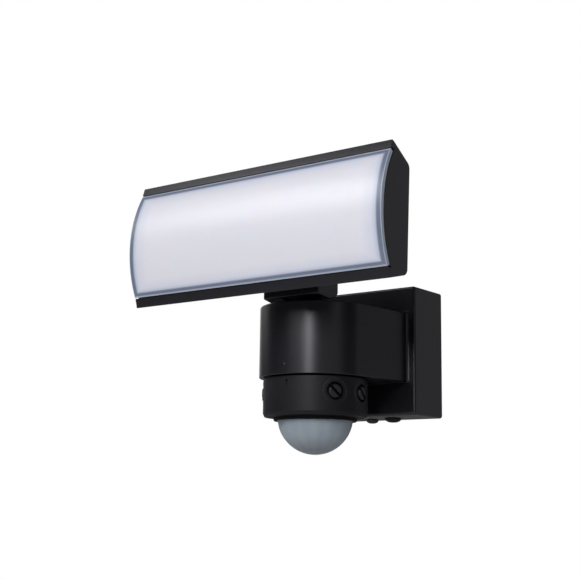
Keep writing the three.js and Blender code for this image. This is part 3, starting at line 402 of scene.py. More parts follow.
plate_low, plate_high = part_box("wall_plate")
PLATE_THICK = mm(3)
PLATE_CORNER = mm(3)
SLOT_WIDTH = mm(4.6)
SLOT_TRAVEL = mm(5)
SLOT_PLACES = [(mm(-30), 0), (mm(30), 0), (0, mm(-23))]
SLOT_SINK_EDGE = mm(1.6)
SLOT_SINK_DEEP = mm(2.1)
KNOCK_OUT_Z = mm(20)
KNOCK_OUT_RADIUS = mm(8)
PLATE_LUG_HALF = mm(6)
PLATE_LUG_THICK = mm(5)
PANEL_PLACES = [(mm(x), mm(z)) for z in (21, -21) for x in (-19, 19)]
PANEL_HALF = (mm(11), mm(9))
PANEL_DEEP = mm(0.7)
PLATE_AHEAD = mm(-4)
PLATE_BEHIND = mm(1)


def upright_slot(x, z, half, y0, y1):
    points = arc(x, z + SLOT_TRAVEL / 2, half, 0, 180, 12)
    points += arc(x, z - SLOT_TRAVEL / 2, half, 180, 360, 12)
    return lofted("slot", [[(u, y, v) for u, v in points] for y in (y0, y1)])


def knock_out_groove(width, y0, y1):
    """Cutter for a round groove in the plate's face."""
    outer, inner = KNOCK_OUT_RADIUS, KNOCK_OUT_RADIUS - width
    rings = []
    for y, radius in ((y0, outer), (y1, outer), (y1, inner), (y0, inner)):
        rings.append([(u, y, KNOCK_OUT_Z + v) for u, v in circle(radius, 48)])
    return lofted("groove", rings, "joined")


outline = rounded_rectangle(plate_high.x, plate_low.z, plate_high.z, PLATE_CORNER)
mounting_plate = lofted("mounting_plate", [[(x, y, z) for x, z in outline] for y in (-PLATE_THICK, 0)])
eased(mounting_plate, mm(0.4), 2)
lug = block(
    "lug",
    (-PLATE_LUG_HALF, plate_low.y, plate_low.z + mm(0.01)),
    (PLATE_LUG_HALF, -PLATE_THICK + mm(0.5), plate_low.z + PLATE_LUG_THICK),
)
reshaped(mounting_plate, "UNION", eased(lug, mm(0.5), 2))
slot_half = SLOT_WIDTH / 2
cutters = [upright_slot(x, z, slot_half, PLATE_AHEAD, PLATE_BEHIND) for x, z in SLOT_PLACES]
for x, z in SLOT_PLACES:
    cutters.append(upright_slot(x, z, slot_half + SLOT_SINK_EDGE, PLATE_AHEAD, -SLOT_SINK_DEEP))
cutters.append(knock_out_groove(mm(1), PLATE_AHEAD, mm(-1.4)))
cutters.append(knock_out_groove(mm(0.6), mm(-0.5), PLATE_BEHIND))
for x, z in PANEL_PLACES:
    low = (x - PANEL_HALF[0], -PANEL_DEEP, z - PANEL_HALF[1])
    high = (x + PANEL_HALF[0], PLATE_BEHIND, z + PANEL_HALF[1])
    cutters.append(block("panel", low, high))
cutters.append(round_bar("tapping", (0, LOCK_SCREW_Y, mm(-36)), (0, LOCK_SCREW_Y, mm(-28)), mm(1.9)))
reshaped(mounting_plate, "DIFFERENCE", *cutters)
smoothed(mounting_plate)
inner_plastic = moulded_plastic("black inner ABS", (0.010, 0.010, 0.011), (0.014, 0.014, 0.015), 0.55)
mounting_plate.data.materials.append(inner_plastic)
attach(mounting_plate, "body")
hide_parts("wall_plate")

# ---- Lock screw ----
# A slotted steel screw that comes up through the floor of the wall box into the plate's lug.
# Its head stays just under the box.

screw_low, screw_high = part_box("base_lock_screw")
SCREW_PLACE = ((screw_low.x + screw_high.x) / 2, (screw_low.y + screw_high.y) / 2, 0)
SCREW_SHANK = mm(1.6)
THREAD_PITCH = mm(0.9)
THREAD_ROOT = 0.82  # of the shank's radius
HEAD_DOME = ((0.3, 0.0), (0.55, 0.08), (0.76, 0.24), (0.91, 0.48), (0.98, 0.74))  # radius, height


def threaded_screw(name, place, head_radius, head_low, head_high, shank, tip, slots):
    """Screw that points up: a domed head with drive slots, and thread ridges on its shank."""
    dome = head_high - head_low
    root = shank * THREAD_ROOT
    profile = [(0, head_low)]
    profile += [(head_radius * share, head_low + dome * rise) for share, rise in HEAD_DOME]
    profile += [(head_radius, head_high), (root, head_high)]
    height = head_high + THREAD_PITCH / 2
    while height < tip - THREAD_PITCH:
        profile += [(root, height), (shank, height + THREAD_PITCH * 0.3)]
        profile += [(shank, height + THREAD_PITCH * 0.4), (root, height + THREAD_PITCH * 0.7)]
        height += THREAD_PITCH
    profile += [(root, tip - THREAD_PITCH / 2), (shank * 0.3, tip), (0, tip)]
    screw = turned(name, profile, place, 32, "poles")
    x, y, z = place
    for half_x, half_y in slots:
        low = (x - half_x, y - half_y, z + head_low - mm(1))
        high = (x + half_x, y + half_y, z + head_low + dome * 0.5)
        reshaped(screw, "DIFFERENCE", block("drive", low, high))
    return smoothed(screw)


lock_screw = threaded_screw(
    "lock_screw",
    SCREW_PLACE,
    screw_high.x,
    screw_low.z,
    body_low.z - mm(0.3),
    SCREW_SHANK,
    screw_high.z,
    [(mm(5), mm(0.5))],
)


def metal_finish(name, colour, roughness, streak=(60.0, 60.0, 1400.0)):
    """Bare metal with fine drawn streaks and a little dulling."""
    finish, tree, surface, place = new_finish(name, roughness, metallic=1.0)
    stretch = node(tree, "ShaderNodeMapping", Vector=place, Scale=streak)
    lines = node(tree, "ShaderNodeTexNoise", Vector=stretch.outputs["Vector"], Scale=1.0, Detail=3.0)
    vary(tree, lines.outputs["Fac"], roughness - 0.08, roughness + 0.12, surface.inputs["Roughness"])
    darker = tuple(0.8 * channel for channel in colour)
    tint(tree, lines.outputs["Fac"], [(0.3, darker), (0.7, colour)], surface.inputs["Base Color"])
    add_bump(tree, surface, lines.outputs["Fac"], mm(0.01), 0.3)
    return finish


zinc_steel = metal_finish("zinc plated steel", (0.42, 0.43, 0.44), 0.34)
black_steel = metal_finish("blackened steel", (0.05, 0.05, 0.055), 0.4)
lock_screw.data.materials.append(black_steel)
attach(lock_screw, "body")
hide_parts("base_lock_screw")

# ---- Cable gland ----
# A black rubber bush snapped into the floor of the wall box. Its thin membrane is pierced by
# the mains cable, which comes up through it when the light is wired.

gland_low, gland_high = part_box("cable_gland")
GLAND_RADIUS = (gland_high.x - gland_low.x) / 2
GLAND_NECK = mm(3.9)


def gland_solid():
    under = body_low.z
    inside = under + BODY_SKIN + mm(0.3)
    rim = under - mm(0.3)
    membrane = gland_low.z + mm(0.7)
    profile = [(0, membrane), (mm(1.3), membrane), (mm(1.7), gland_low.z + mm(0.2))]
    for angle in range(25, 91, 5):
        turn = math.radians(angle)
        profile.append((GLAND_RADIUS * math.sin(turn), rim + (gland_low.z - rim) * math.cos(turn)))
    profile += [(GLAND_NECK, rim), (GLAND_NECK, inside), (mm(5), inside), (mm(4.9), inside + mm(0.5))]
    profile += [(mm(4.2), gland_high.z), (0, gland_high.z)]
    return smoothed(turned("rubber_bush", profile, (*GLAND_PLACE, 0), 48, "poles"))


def rubber_finish(name, shade):
    """Matt rubber with a faint bloom and a soft grain."""
    finish, tree, surface, place = new_finish(name, 0.75, specular=0.3)
    bloom = node(tree, "ShaderNodeTexNoise", Vector=place, Scale=160.0, Detail=4.0)
    grains = node(tree, "ShaderNodeTexNoise", Vector=place, Scale=1500.0, Detail=2.0)
    dark = (shade, shade, shade)
    pale = (shade * 2.2, shade * 2.2, shade * 2.3)
    tint(tree, bloom.outputs["Fac"], [(0.35, dark), (0.8, pale)], surface.inputs["Base Color"])
    add_bump(tree, surface, grains.outputs["Fac"], mm(0.03), 0.5)
    return finish


rubber_bush = gland_solid()
black_rubber = rubber_finish("black rubber", 0.004)
rubber_bush.data.materials.append(black_rubber)
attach(rubber_bush, "body")
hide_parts("cable_gland")

# ---- Pan turret ----
# A black disc let into the top of the body, so that the lamp head can turn. Its hub passes
# through the body's ledge to a spring clip, and its lug carries the tilt bolt.

turret_low, turret_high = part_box("pan_turret")
tilt_place = joint_place("head_tilt")
TILT_Y = tilt_place.y
TILT_Z = tilt_place.z
TURRET_THICK = mm(2.2)
TURRET_HUB = mm(21.6)
TURRET_BORE = mm(17.8)
CLIP_GROOVE = (mm(20), mm(15.3), mm(17.4))  # radius, foot and top
LUG_HALF = mm(7)
LUG_RADIUS = mm(8)
BOLT_HOLE = mm(2.8)


def turret_solid():
    under = BODY_TOP - TURRET_THICK
    profile = [(0, BODY_TOP), (turret_high.x - mm(0.5), BODY_TOP)]
    profile += arc(turret_high.x - mm(0.5), BODY_TOP - mm(0.5), mm(0.5), 90, 0, 4)
    profile += [(turret_high.x, under), (TURRET_HUB, under)]
    profile += [(TURRET_HUB, CLIP_GROOVE[2]), (CLIP_GROOVE[0], CLIP_GROOVE[2])]
    profile += [(CLIP_GROOVE[0], CLIP_GROOVE[1]), (TURRET_HUB, CLIP_GROOVE[1])]
    profile += [(TURRET_HUB, turret_low.z + mm(0.4)), (TURRET_HUB - mm(0.4), turret_low.z)]
    profile += [(TURRET_BORE, turret_low.z), (TURRET_BORE, under), (0, under)]
    return turned("pan_disc", profile, (0, AXIS_Y, 0), 96, "poles")


def lug_solid():
    foot = BODY_TOP - TURRET_THICK + mm(0.5)
    outline = [(TILT_Y + LUG_RADIUS, foot)]
    outline += arc(TILT_Y, TILT_Z, LUG_RADIUS, 0, 205, 28)
    outline += [(TILT_Y - mm(1.6), foot)]
    solid = lofted("lug", [[(x, y, z) for y, z in outline] for x in (-LUG_HALF, LUG_HALF)])
    return eased(solid, mm(0.5), 3)


pan_disc = turret_solid()
reshaped(pan_disc, "UNION", lug_solid())
wire_way_y = TILT_Y + LUG_RADIUS / 2 + mm(1.2)
reshaped(
    pan_disc,
    "DIFFERENCE",
    round_bar("bolt_hole", (mm(-20), TILT_Y, TILT_Z), (mm(20), TILT_Y, TILT_Z), BOLT_HOLE),
    round_bar("wire_way", (0, wire_way_y, mm(19)), (0, wire_way_y, mm(50)), mm(1.7), 24),
)
smoothed(pan_disc)
pan_disc.data.materials.append(black_plastic)
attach(pan_disc, "turret")
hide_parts("pan_turret")

# ---- Tilt knuckle ----
# A black moulded block screwed to the back of the lamp head by its flange. Its open clevis
# sits over the turret's lug and turns on the tilt bolt.

knuckle_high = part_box("tilt_knuckle")[1]
flange_screw_low, flange_screw_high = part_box("flange_screw_2")
KNUCKLE_HALF = mm(19.7)
KNUCKLE_FRONT = mm(-96.7)
KNUCKLE_BACK = knuckle_high.y
KNUCKLE_ROUND = mm(14.2)
FLANGE_BACK = mm(-108.8)
FLANGE_HALF = knuckle_high.x
FLANGE_LOW = mm(32)
FLANGE_HIGH = knuckle_high.z
FLANGE_SCREW_X = (flange_screw_low.x + flange_screw_high.x) / 2
FLANGE_SCREW_Z = (flange_screw_low.z + flange_screw_high.z) / 2
CLEVIS_HALF = LUG_HALF + mm(0.4)
CLEVIS_RADIUS = LUG_RADIUS + mm(0.9)
POCKET_RADIUS = mm(5.6)
POCKET_DEEP = mm(3)
FLANGE_SCREW_HOLE = mm(1.9)
WIRE_Z = mm(45.2)
WIRE_HOLE = mm(2.2)
INSIDE_HEAD_Y = mm(-120)
HEAD_BACK_LOW = (mm(-113.1), mm(29.3))
HEAD_BACK_HIGH = (mm(-110.6), mm(84))


def head_back(z):
    """Y of the lamp head's leaning back at a height."""
    lean = (HEAD_BACK_HIGH[0] - HEAD_BACK_LOW[0]) / (HEAD_BACK_HIGH[1] - HEAD_BACK_LOW[1])
    return HEAD_BACK_LOW[0] + lean * (z - HEAD_BACK_LOW[1])


def bend(start, corner, end, steps=8):
    """Points of a soft corner between two points, without the first."""
    points = []
    for step in range(1, steps + 1):
        t = step / steps
        u = (1 - t) ** 2 * start[0] + 2 * t * (1 - t) * corner[0] + t * t * end[0]
        v = (1 - t) ** 2 * start[1] + 2 * t * (1 - t) * corner[1] + t * t * end[1]
        points.append((u, v))
    return points


def knuckle_block():
    meet = -math.degrees(math.acos((KNUCKLE_BACK - TILT_Y) / KNUCKLE_ROUND))
    shoulder = (KNUCKLE_BACK, TILT_Z + mm(6))
    crown = (TILT_Y + mm(1), TILT_Z + mm(13.4))
    outline = [(KNUCKLE_FRONT, mm(26.4))]
    outline += arc(TILT_Y, TILT_Z, KNUCKLE_ROUND, -95, meet, 14)
    outline += [shoulder] + bend(shoulder, (KNUCKLE_BACK - mm(0.6), TILT_Z + mm(13)), crown)
    outline += [(FLANGE_BACK - mm(1), mm(57)), (FLANGE_BACK - mm(1), mm(33)), (KNUCKLE_FRONT, mm(31.5))]
    solid = lofted("block", [[(x, y, z) for y, z in outline] for x in (-KNUCKLE_HALF, KNUCKLE_HALF)])
    return eased(solid, mm(0.9), 4)


def flange_screw_holes(back):
    """Cutters for the two screws, from inside the lamp head to a place behind it."""
    holes = []
    for x in (-FLANGE_SCREW_X, FLANGE_SCREW_X):
        inside = (x, INSIDE_HEAD_Y, FLANGE_SCREW_Z)
        holes.append(round_bar("screw_hole", inside, (x, back, FLANGE_SCREW_Z), FLANGE_SCREW_HOLE))
    return holes


def flange_solid():
    outline = rounded_rectangle(FLANGE_HALF, FLANGE_LOW, FLANGE_HIGH, mm(4))
    front = [(x, head_back(z) + mm(0.3), z) for x, z in outline]
    back = [(x, FLANGE_BACK, z) for x, z in outline]
    return eased(lofted("flange", [front, back]), mm(0.4), 2)


knuckle_casting = knuckle_block()
knuckle_casting.name = "knuckle_casting"
reshaped(knuckle_casting, "UNION", flange_solid())
far = mm(30)
pocket = KNUCKLE_HALF - POCKET_DEEP
cutters = [
    round_bar("clevis", (-CLEVIS_HALF, TILT_Y, TILT_Z), (CLEVIS_HALF, TILT_Y, TILT_Z), CLEVIS_RADIUS, 64),
    block("clevis_foot", (-CLEVIS_HALF, TILT_Y - CLEVIS_RADIUS, mm(10)), (CLEVIS_HALF, mm(-60), TILT_Z)),
    block("clevis_back", (-CLEVIS_HALF, TILT_Y, mm(10)), (CLEVIS_HALF, mm(-60), TILT_Z + CLEVIS_RADIUS)),
    round_bar("bolt_hole", (-far, TILT_Y, TILT_Z), (far, TILT_Y, TILT_Z), BOLT_HOLE),
    round_bar("head_pocket", (pocket, TILT_Y, TILT_Z), (far, TILT_Y, TILT_Z), POCKET_RADIUS, 48),
    round_bar("nut_pocket", (-far, TILT_Y, TILT_Z), (-pocket, TILT_Y, TILT_Z), POCKET_RADIUS, 48),
    round_bar("wire_hole", (0, INSIDE_HEAD_Y, WIRE_Z), (0, TILT_Y, WIRE_Z), WIRE_HOLE, 24),
    *flange_screw_holes(mm(-100)),
]
reshaped(knuckle_casting, "DIFFERENCE", *cutters)
smoothed(knuckle_casting)
knuckle_casting.data.materials.append(black_plastic)
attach(knuckle_casting, "head")
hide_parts("tilt_knuckle")

# ---- Tilt bolt and nut ----
# A steel bolt runs across the knuckle and the turret's lug, with its slotted head in a pocket
# on one side and a hexagon nut in a pocket on the other. It clamps the tilt by friction.

bolt_low, bolt_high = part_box("tilt_bolt")
nut_low, nut_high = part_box("tilt_nut")
BOLT_RADIUS = mm(2.5)
BOLT_HEAD_RADIUS = mm(4.8)
BOLT_HEAD_ROUND = mm(0.7)
BOLT_THREAD_DEEP = mm(0.35)
BOLT_PITCH = mm(0.8)
NUT_RADIUS = mm(4.9)


def crosswise(name, profile, steps):
    """Turned piece whose axis is the tilt axis, from an outline of (radius, x)."""
    rings = [[(x, TILT_Y + u, TILT_Z + v) for u, v in circle(radius, steps)] for radius, x in profile]
    return lofted(name, rings, "poles")


def bolt_solid():
    seat = KNUCKLE_HALF - POCKET_DEEP + mm(0.3)
    root = BOLT_RADIUS - BOLT_THREAD_DEEP
    profile = [(0, bolt_low.x), (BOLT_RADIUS - mm(0.5), bolt_low.x)]
    x = bolt_low.x + mm(0.5)
    while x < nut_high.x + mm(4):
        profile += [(root, x), (BOLT_RADIUS, x + mm(0.3)), (root, x + mm(0.6))]
        x += BOLT_PITCH
    profile += [(BOLT_RADIUS, x), (BOLT_RADIUS, seat), (BOLT_HEAD_RADIUS, seat)]
    edge = (BOLT_HEAD_RADIUS - BOLT_HEAD_ROUND, bolt_high.x - BOLT_HEAD_ROUND)
    profile += arc(*edge, BOLT_HEAD_ROUND, 0, 90, 5)
    profile += [(0, bolt_high.x)]
    solid = crosswise("tilt_screw", profile, 40)
    low = (bolt_high.x - mm(1.1), TILT_Y - mm(6), TILT_Z - mm(0.6))
    high = (bolt_high.x + mm(1), TILT_Y + mm(6), TILT_Z + mm(0.6))
    return smoothed(reshaped(solid, "DIFFERENCE", block("drive", low, high)))


def nut_solid():
    outline = [(TILT_Y + u, TILT_Z + v) for u, v in circle(NUT_RADIUS, 6)]
    solid = lofted("tilt_hexagon_nut", [[(x, y, z) for y, z in outline] for x in (nut_low.x, nut_high.x)])
    eased(solid, mm(0.3), 2)
    bore = round_bar("bore", (mm(-25), TILT_Y, TILT_Z), (mm(-15), TILT_Y, TILT_Z), BOLT_HOLE)
    return smoothed(reshaped(solid, "DIFFERENCE", bore))


for piece, node_name in ((bolt_solid(), "tilt_bolt"), (nut_solid(), "tilt_nut")):
    piece.data.materials.append(zinc_steel)
    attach(piece, "head")
    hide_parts(node_name)

# ---- Flange screws ----
# Two cross-head screws hold the knuckle's flange to the back of the lamp head and bite into
# the aluminium plate behind it.

BACK_SCREW_SHANK = mm(1.4)
CROSS_SLOTS = [(mm(2), mm(0.4)), (mm(0.4), mm(2))]

for number, x in ((1, -FLANGE_SCREW_X), (2, FLANGE_SCREW_X)):
    low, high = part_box(f"flange_screw_{number}")
    back_screw = threaded_screw(
        f"back_screw_{number}",
        (0, 0, 0),
        (high.x - low.x) / 2,
        -high.y,
        -(FLANGE_BACK + mm(0.3)),
        BACK_SCREW_SHANK,
        -low.y,
        CROSS_SLOTS,
    )
    lay_down = Matrix.Rotation(math.pi / 2, 4, "X")
    back_screw.data.transform(Matrix.Translation((x, 0, FLANGE_SCREW_Z)) @ lay_down)
    back_screw.data.materials.append(zinc_steel)
    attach(back_screw, "head")
    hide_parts(f"flange_screw_{number}")

# ---- Lamp housing ----
# The black moulded tray of the lamp head, open to the front. A lip runs under the cover and
# a sloping flange over it; the back leans and its long edges are rounded.

housing_low, housing_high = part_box("head_housing")
cover_low, cover_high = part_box("diffuser")
HEAD_HALF = housing_high.x
HEAD_SKIN = mm(2.2)
LIP_BOTTOM = (mm(-130.8), housing_low.z)
LIP_TOP = (mm(-132.3), mm(28.1))
FLANGE_BOTTOM = (mm(-129.4), mm(91.6))
RIDGE = (mm(-127.8), housing_high.z)
COVER_TOP = (mm(-129.2), cover_high.z)
COVER_BOTTOM = (mm(-132.6), cover_low.z)
COVER_BULGE = mm(7.7)
COVER_THICK = mm(2.4)
HEAD_EDGE_ROUND = mm(0.25)


def bulge(top, bottom, rise):
    """Centre, radius and end angles of an arc that bulges forwards between two points."""
    half = math.dist(top, bottom) / 2
    radius = (half * half + rise * rise) / (2 * rise)
    along = ((top[0] - bottom[0]) / (2 * half), (top[1] - bottom[1]) / (2 * half))
    centre_y = (top[0] + bottom[0]) / 2 + along[1] * (radius - rise)
    centre_z = (top[1] + bottom[1]) / 2 - along[0] * (radius - rise)
    start = math.degrees(math.atan2(top[1] - centre_z, top[0] - centre_y)) % 360
    end = math.degrees(math.atan2(bottom[1] - centre_z, bottom[0] - centre_y)) % 360
    return centre_y, centre_z, radius, start, end


FACE_Y, FACE_Z, FACE_RADIUS, FACE_START, FACE_END = bulge(COVER_TOP, COVER_BOTTOM, COVER_BULGE)


def housing_outline():
    foot = (mm(-116.2), mm(26.2))
    shoulder = (mm(-112.6), mm(87.6))
    brow = (mm(-123.2), mm(94.1))
    seat = FACE_RADIUS - COVER_THICK - mm(0.3)
    outline = [LIP_BOTTOM, foot]
    outline += bend(foot, (HEAD_BACK_LOW[0] - mm(0.8), mm(27)), HEAD_BACK_LOW)
    outline += [HEAD_BACK_HIGH]
    outline += bend(HEAD_BACK_HIGH, (HEAD_BACK_HIGH[0] + mm(0.1), mm(86.4)), shoulder)
    outline += [brow] + bend(brow, (mm(-126.6), RIDGE[1]), RIDGE)
    outline += [FLANGE_BOTTOM, (mm(-126), FLANGE_BOTTOM[1])]
    outline += arc(FACE_Y, FACE_Z, seat, FACE_START, FACE_END, 24)
    outline += [(mm(-129), LIP_TOP[1]), LIP_TOP]
    return outline


def room_outline():
    return [
        (mm(-150), LIP_TOP[1]),
        (mm(-129), LIP_TOP[1]),
        (mm(-117), mm(29)),
        (head_back(mm(32)) - HEAD_SKIN, mm(32)),
        (head_back(mm(82)) - HEAD_SKIN, mm(82)),
        (mm(-114.6), mm(85.8)),
        (mm(-124), FLANGE_BOTTOM[1]),
        (mm(-150), FLANGE_BOTTOM[1]),
    ]


def along_length(name, outline, half):
    """Bar along X with the given side view."""
    return lofted(name, [[(x, y, z) for y, z in outline] for x in (-half, half)])


lamp_housing = along_length("lamp_housing", housing_outline(), HEAD_HALF)
eased(lamp_housing, HEAD_EDGE_ROUND, 2)
behind_head = mm(-108)
cutters = [
    along_length("room", room_outline(), HEAD_HALF - HEAD_SKIN),
    *flange_screw_holes(behind_head),
    round_bar("wire_hole", (0, INSIDE_HEAD_Y, WIRE_Z), (0, behind_head, WIRE_Z), WIRE_HOLE, 24),
]
reshaped(lamp_housing, "DIFFERENCE", *cutters)
smoothed(lamp_housing)
lamp_housing.data.materials.append(black_plastic)
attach(lamp_housing, "head")
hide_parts("head_housing")

# ---- Lamp cover ----
# A bowed cover in milky polycarbonate that closes the front of the housing. Its rim is thick
# and glossy. Painted shade darkens it to grey-blue in bands along its edges, where the black housing lies
# behind it.

COVER_STEPS = 48


def cover_solid():
    front = arc(FACE_Y, FACE_Z, FACE_RADIUS, FACE_START, FACE_END, COVER_STEPS)
    back = arc(FACE_Y, FACE_Z, FACE_RADIUS - COVER_THICK, FACE_END, FACE_START, COVER_STEPS)
    solid = along_length("lamp_cover", front + back, HEAD_HALF)
    return smoothed(eased(solid, HEAD_EDGE_ROUND, 2))


def maths(tree, operation, *values):
    step = node(tree, "ShaderNodeMath", operation=operation)
    for socket, value in zip(step.inputs, values):
        feed(tree, socket, value)
    return step.outputs["Value"]


def cover_finish():
    """Milky plastic with painted shade in bands along its edges, by the distance in from the nearest edge.
    """
    finish, tree, surface, place = new_finish("milky cover", 0.3)
    surface.inputs["Subsurface Weight"].default_value = 0.25
    surface.inputs["Subsurface Scale"].default_value = mm(1.5)
    parts = node(tree, "ShaderNodeSeparateXYZ", Vector=place)
    across, height = parts.outputs["X"], parts.outputs["Z"]
    # The painted shade bands are wider at the ends than along the top and bottom.
    from_end = maths(tree, "SUBTRACT", HEAD_HALF, maths(tree, "ABSOLUTE", across))
    from_end = maths(tree, "MULTIPLY_ADD", from_end, 0.72, mm(0.6))
    from_top = maths(tree, "MULTIPLY", maths(tree, "SUBTRACT", COVER_TOP[1], height), 1.1)
    from_bottom = maths(tree, "MULTIPLY", maths(tree, "SUBTRACT", height, COVER_BOTTOM[1]), 1.1)
    nearest = maths(tree, "MINIMUM", maths(tree, "MINIMUM", from_end, from_top), from_bottom)
    reach = maths(tree, "DIVIDE", nearest, mm(10))
    # Painted shade: the colour darkens towards the edges, where the black housing and flange shade the
    # cover; the outer rim band is the thick edge, partly real and partly painted reflection.
    rim = (0.36, 0.40, 0.49)
    slate_shade = (0.145, 0.175, 0.25)
    haze_edge_shade = (0.50, 0.535, 0.65)
    haze_middle_shade = (0.63, 0.645, 0.73)
    milk = (0.70, 0.70, 0.765)
    bands = [(0.0, rim), (0.08, rim), (0.115, slate_shade), (0.24, slate_shade)]
    bands += [(0.33, haze_edge_shade), (0.5, haze_middle_shade), (1.0, milk)]
    tint(tree, reach, bands, surface.inputs["Base Color"])
    haze = node(tree, "ShaderNodeTexNoise", Vector=place, Scale=22.0, Detail=2.0)
    vary(tree, haze.outputs["Fac"], 0.27, 0.36, surface.inputs["Roughness"])
    grains = node(tree, "ShaderNodeTexNoise", Vector=place, Scale=1800.0, Detail=1.0)
    add_bump(tree, surface, grains.outputs["Fac"], mm(0.01), 0.3)
    return finish


lamp_cover = cover_solid()
lamp_cover.data.materials.append(cover_finish())
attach(lamp_cover, "head")
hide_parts("diffuser")

# ---- Sensor housing ----
# A round black cup under the body, which turns on a hollow spigot to aim the sensor.
# Three setting knobs look out of its wall, and two printed marks show where it points.

sensor_low, sensor_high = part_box("sensor_housing")
SENSOR_RADIUS = sensor_high.x
SENSOR_TOP = mm(-19.3)
SENSOR_FOOT = sensor_low.z
SENSOR_SKIN = mm(2.2)
SPIGOT = (mm(14), mm(17.6), mm(16.2))  # radii of its bore, its outside and its groove
SPIGOT_GROOVE = (mm(-15.8), mm(-13.4))
KNOB_HOLE = mm(5.2)
KNOB_AZIMUTHS = (-57, 57, 96)
KNOB_Z = joint_place("knob_1_turn").z


def outward(azimuth):
    turn = math.radians(azimuth)
    return Vector((math.sin(turn), -math.cos(turn), 0))


def sensor_cup():
    ceiling = SENSOR_TOP - SENSOR_SKIN
    room = SENSOR_RADIUS - SENSOR_SKIN
    bore, outer, groove = SPIGOT
    top, edge = sensor_high.z, mm(0.4)
    profile = [(bore, top), (outer - edge, top), (outer, top - edge)]
    profile += [(outer, SPIGOT_GROOVE[1]), (groove, SPIGOT_GROOVE[1])]
    profile += [(groove, SPIGOT_GROOVE[0]), (outer, SPIGOT_GROOVE[0]), (outer, SENSOR_TOP)]
    profile += arc(SENSOR_RADIUS - mm(0.5), SENSOR_TOP - mm(0.5), mm(0.5), 90, 0, 4)
    profile += [(SENSOR_RADIUS, SENSOR_FOOT + mm(2)), (SENSOR_RADIUS - mm(0.15), SENSOR_FOOT + mm(1.6))]
    profile += [(SENSOR_RADIUS - mm(0.8), SENSOR_FOOT), (room, SENSOR_FOOT)]
    profile += [(room, ceiling), (bore, ceiling)]
    return turned("sensor_cup", profile, (0, AXIS_Y, 0), 128)


sensor_cup_piece = sensor_cup()
knob_ring = Vector((0, AXIS_Y, KNOB_Z))
cutters = []
for azimuth in KNOB_AZIMUTHS:
    start, end = (knob_ring + outward(azimuth) * reach for reach in (mm(24), mm(34)))
    cutters.append(round_bar("knob_hole", start, end, KNOB_HOLE, 48))
reshaped(sensor_cup_piece, "DIFFERENCE", *cutters)
smoothed(sensor_cup_piece)
matt_plastic = moulded_plastic(
    "matt black ABS", (0.0045, 0.0045, 0.006), (0.006, 0.006, 0.0075), 0.5, specular=0.27
)
sensor_cup_piece.data.materials.append(matt_plastic)
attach(sensor_cup_piece, "sensor")
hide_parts("sensor_housing")
# Black for the printed marks, and painted shade inside the knob slots.
print_and_slot_shade = moulded_plastic(
    "black print and slot shade", (0.001, 0.001, 0.001), (0.0015, 0.0015, 0.0015), 0.9, specular=0.1
)
for name, low, high, half_width in (
    ("sensor_pointer", mm(-22.9), mm(-21.2), mm(1)),
    ("sensor_pointer_dash", mm(-24.5), mm(-23.5), mm(0.5)),
):
    mark = raised_triangle(INDEX_AZIMUTH, low, high, half_width, SENSOR_RADIUS, mm(0.12))
    mark.name = name
    mark.data.materials.append(print_and_slot_shade)
    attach(mark, "sensor")

# ---- Dial scales ----
# Fine raised lines on the sensor's wall: an arc round each knob, with ticks across it that
# show the range of its setting. They are moulded with the wall and are a shade paler.

SCALE_RADIUS = mm(7.1)
SCALE_LINE = mm(0.22)
SCALE_START = math.radians(-45)
SCALE_SWEEP = math.radians(270)
SCALE_TICKS = 7


